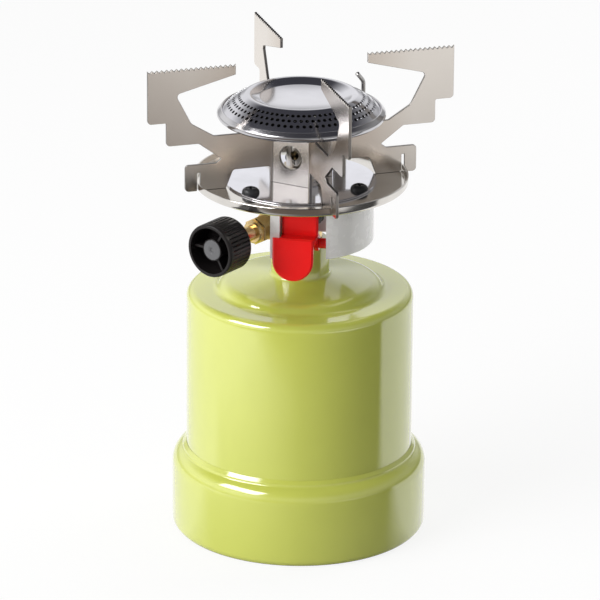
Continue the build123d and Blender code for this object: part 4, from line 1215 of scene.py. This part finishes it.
def knob():
    """Grooved grip, open to the front, with its hub and the ribs between hub and wall."""
    mesh = bmesh.new()
    steps = GRIP_GROOVES * GRIP_STEPS
    inside = KNOB_RADIUS - KNOB_WALL
    floor_level = knob_back + KNOB_BACK
    grip_back = knob_back + KNOB_EDGE + GRIP_BACK
    grip_front = KNOB_FACE - GRIP_FRONT
    seat = hub_face - KNOB_SEAT_DEPTH
    edge_foot = KNOB_RADIUS - KNOB_EDGE
    # Level, radius and share of the grooves' depth, from the bore round the outside and back in
    stations = [(knob_back, KNOB_BORE, 0), (knob_back, edge_foot, 0)]
    stations += [(knob_back + KNOB_EDGE * (1 - math.cos(t)), KNOB_RADIUS - KNOB_EDGE * (1 - math.sin(t)), 0)
                 for t in KNOB_EDGE_TURNS]
    stations += [(grip_back, KNOB_RADIUS, 0), (grip_back + GRIP_END, KNOB_RADIUS, 1),
                 (grip_front - GRIP_END, KNOB_RADIUS, 1), (grip_front, KNOB_RADIUS, 0)]
    stations += [(KNOB_FACE - KNOB_EDGE * (1 - math.sin(t)), KNOB_RADIUS - KNOB_EDGE * (1 - math.cos(t)), 0)
                 for t in (0.0, *KNOB_EDGE_TURNS)]
    stations += [(level, radius, 0) for level, radius in (
        (KNOB_FACE, edge_foot), (KNOB_FACE, inside + KNOB_RIM), (KNOB_FACE - KNOB_RIM, inside),
        (floor_level, inside), (floor_level, KNOB_HUB), (hub_face - KNOB_HUB_EDGE, KNOB_HUB),
        (hub_face, KNOB_HUB - KNOB_HUB_EDGE), (hub_face, KNOB_SEAT), (seat, KNOB_SEAT), (seat, KNOB_BORE))]
    rings = []
    for level, radius, groove in stations:
        ring = []
        for step in range(steps):
            turn = 2 * math.pi * step / steps
            wave = max(0.0, math.cos(turn * GRIP_GROOVES)) ** GRIP_POWER
            size = radius - GRIP_DEPTH * groove * wave
            ring.append(mesh.verts.new((size * math.cos(turn), size * math.sin(turn), level)))
        rings.append(ring)
    bridge(mesh, rings + rings[:1])
    bmesh.ops.transform(mesh, matrix=knob_axis, verts=mesh.verts)
    rib = rounded(oblong(KNOB_HUB - SUNK, inside + SUNK, -KNOB_RIB / 2, KNOB_RIB / 2))
    for angle in RIB_ANGLES:
        plate(mesh, rib, floor_level - RIB_FOOT, KNOB_FACE - KNOB_RIB_RECESS, RIB_EDGE,
              place=knob_axis @ spin(angle))
    piece("knob_grip", mesh, "knob", "black_plastic", BLACK, "control_knob")


def knob_disc():
    mesh = bmesh.new()
    lathe(mesh, [(radius, hub_face + height) for radius, height in DISC_PROFILE], DISC_STEPS, knob_axis)
    piece("knob_hub_disc", mesh, "knob", "grey_plastic", GREY, "knob_cap")


# Solids that stay as they are, with their finish
# The gas jet's black finish is painted shade, as it stands deep in the dark mixing tube
KEPT = {
    "gas_cartridge": CAN_PAINT, "cartridge_seal": RUBBER, "piercing_needle": WIRE_STEEL, "valve_body": BRASS,
    "lock_nut": BRASS, "packing_ring": RUBBER, "gas_jet": INSIDE_SHADE, "piezo_body": BLACK, "piezo_plunger": GREY,
    "piezo_terminal": BRASS,
}


def dress_solids():
    for node, material in KEPT.items():
        data = frame["nodes"][node].data
        data.materials.clear()
        data.materials.append(material)


# Floor, light and camera

CAMERA_ELEVATION = 20.44
CAMERA_DIRECTION = 252.7
CAMERA_DISTANCE = 2.188
CAMERA_AIM = Vector((0, 0, 0.0975))
CAMERA_ROLL = 0.44
CAMERA_LENS = 318.9
SENSOR = 36.0
FLOOR_HALF = 6.0
FLOOR_COLOUR = (0.62, 0.62, 0.62, 1)
FLOOR_WHITE = 0.86
FLOOR_SHOWN = (0.97, 0.97, 0.97, 1)
PURE_WHITE = (1, 1, 1, 1)
# What reflections show on the floor: a grey card in front of the stove, from one distance to another, that
# goes from white on the left to dark on the right and, further off, the other way, and white floor elsewhere
CARD_SHIFT = 0.5
CARD_START = ((0.02, 0.0), (0.04, 1.0))
CARD_END = ((0.26, 0.0), (0.34, 1.0))
CARD_NEAR = ((0.25, 1.0), (0.30, 0.8), (0.40, 0.5), (0.50, 0.18), (0.60, 0.11), (0.80, 0.06))
CARD_FAR = ((0.65, (0.16, 0.132, 0.112)), (0.75, (0.25, 0.208, 0.18)), (0.79, (0.95, 0.93, 0.91)),
            (0.83, 1.0))
# What reflections show above the floor: a white band on the wall behind and to the left, grey elsewhere
# and dark overhead
WALL_TURN = 55.0
WALL_ROUND = ((0.45, 0.36), (0.60, 0.80), (0.68, 1.0))
WALL_UP = ((0.0, 0.45), (0.10, 0.50), (0.22, 1.0), (0.42, 1.0), (0.72, 0.0))
DARK_TOP = (0.06, 0.06, 0.07, 1)
AMBIENT = 0.16
# Lamps: turn from the camera's direction, height, distance, width and height of the panel, watts, and
# whether reflections show it
LAMPS = {
    "key": (-62, 1.2, 1.25, 1.1, 0.6, 14, True),
    "low": (-46, 0.5, 1.5, 0.9, 0.5, 15, False),
    "back": (125, 0.6, 1.5, 0.9, 0.6, 9, False),
    "top": (180, 1.5, 0.5, 1.0, 0.7, 6, False),
}


def camera():
    data = bpy.data.cameras.new("camera")
    data.lens = CAMERA_LENS
    data.sensor_width = SENSOR
    made = show("camera", data)
    back = along(CAMERA_DIRECTION, cosine(CAMERA_ELEVATION), sine(CAMERA_ELEVATION))
    made.location = CAMERA_AIM + back * CAMERA_DISTANCE
    made.rotation_mode = "QUATERNION"
    roll = Quaternion((0, 0, 1), math.radians(CAMERA_ROLL))
    made.rotation_quaternion = (-back).to_track_quat("-Z", "Y") @ roll
    bpy.context.scene.camera = made


def blank_graph(owner):
    """Empty node tree of a material or a world."""
    owner.use_nodes = True
    owner.node_tree.nodes.clear()
    return Graph(owner.node_tree)


def mirror_rays(g, rays):
    """Whether a ray comes from a mirroring or a clear surface."""
    return g.math("MAXIMUM", rays["Is Glossy Ray"], rays["Is Transmission Ray"])


def floor():
    """Pale floor: white for the camera, and in reflections a grey card before the stove."""
    mesh = bmesh.new()
    bmesh.ops.create_grid(mesh, x_segments=2, y_segments=2, size=FLOOR_HALF)
    data = mesh_data("studio_floor", mesh)
    made = show("studio_floor", data)
    material = bpy.data.materials.new("studio_floor")
    g = blank_graph(material)
    place = g.node("TexCoord").outputs["Object"]
    ahead = g.dot(place, along(CAMERA_DIRECTION, 1))
    across = g.math("ADD", g.dot(place, along(CAMERA_DIRECTION + 90, 1)), CARD_SHIFT)
    front = g.mix(g.ramp(ahead, *CARD_END), g.ramp(across, *CARD_NEAR), g.ramp(across, *CARD_FAR))
    reflected = g.mix(g.ramp(ahead, *CARD_START), PURE_WHITE, front)
    rays = g.node("LightPath").outputs
    colour = g.mix(rays["Is Camera Ray"], FLOOR_COLOUR, FLOOR_SHOWN)
    lit = g.put("BsdfDiffuse", "BSDF", colour)
    mirrored = g.put("Emission", "Emission", reflected)
    shown = g.put("Emission", "Emission", PURE_WHITE)
    surface = g.blend(mirror_rays(g, rays), lit, mirrored)
    surface = g.blend(g.math("MULTIPLY", rays["Is Camera Ray"], FLOOR_WHITE), surface, shown)
    g.node("OutputMaterial", Surface=surface)
    data.materials.append(material)


def world():
    """White surroundings for the camera, soft light for the rest, and in reflections a white wall."""
    made = bpy.data.worlds.new("studio")
    bpy.context.scene.world = made
    g = blank_graph(made)
    way = g.node("TexCoord").outputs["Generated"]
    facing = g.dot(way, along(CAMERA_DIRECTION + 180 + WALL_TURN, 1))
    share = g.math("ADD", g.math("MULTIPLY", facing, 0.5), 0.5)
    height = g.put("SeparateXYZ", "Z", way)
    reflected = g.mix(g.ramp(height, *WALL_UP), DARK_TOP, g.ramp(share, *WALL_ROUND))
    rays = g.node("LightPath").outputs
    ambient = g.put("Background", "Background", PURE_WHITE, AMBIENT)
    mirrored = g.put("Background", "Background", reflected)
    shown = g.put("Background", "Background", PURE_WHITE)
    surface = g.blend(rays["Is Camera Ray"], g.blend(mirror_rays(g, rays), ambient, mirrored), shown)
    g.node("OutputWorld", Surface=surface)


def softbox(name, turn, height, distance, width, tall, power, mirrored):
    """Area lamp that looks at the middle of the stove."""
    data = bpy.data.lights.new(name, "AREA")
    data.shape = "RECTANGLE"
    data.size = width
    data.size_y = tall
    data.energy = power
    made = show(name, data)
    made.location = along(CAMERA_DIRECTION + turn, distance, height)
    made.rotation_mode = "QUATERNION"
    made.rotation_quaternion = (CAMERA_AIM - made.location).to_track_quat("-Z", "Y")
    made.visible_glossy = mirrored


foot_shell()
housing_shell()
tray()
shield()
screws()
for support_node in SUPPORT_ANGLES:
    support(support_node)
mixing_tube()
burner_bowl()
burner_cap()
spark_wire()
wire_sleeve()
igniter_cover()
lever()
gland_nut()
spindle()
knob()
knob_disc()
dress_solids()

camera()
floor()
world()
for lamp, values in LAMPS.items():
    softbox(lamp, *values)

bpy.context.scene.view_settings.view_transform = "Standard"
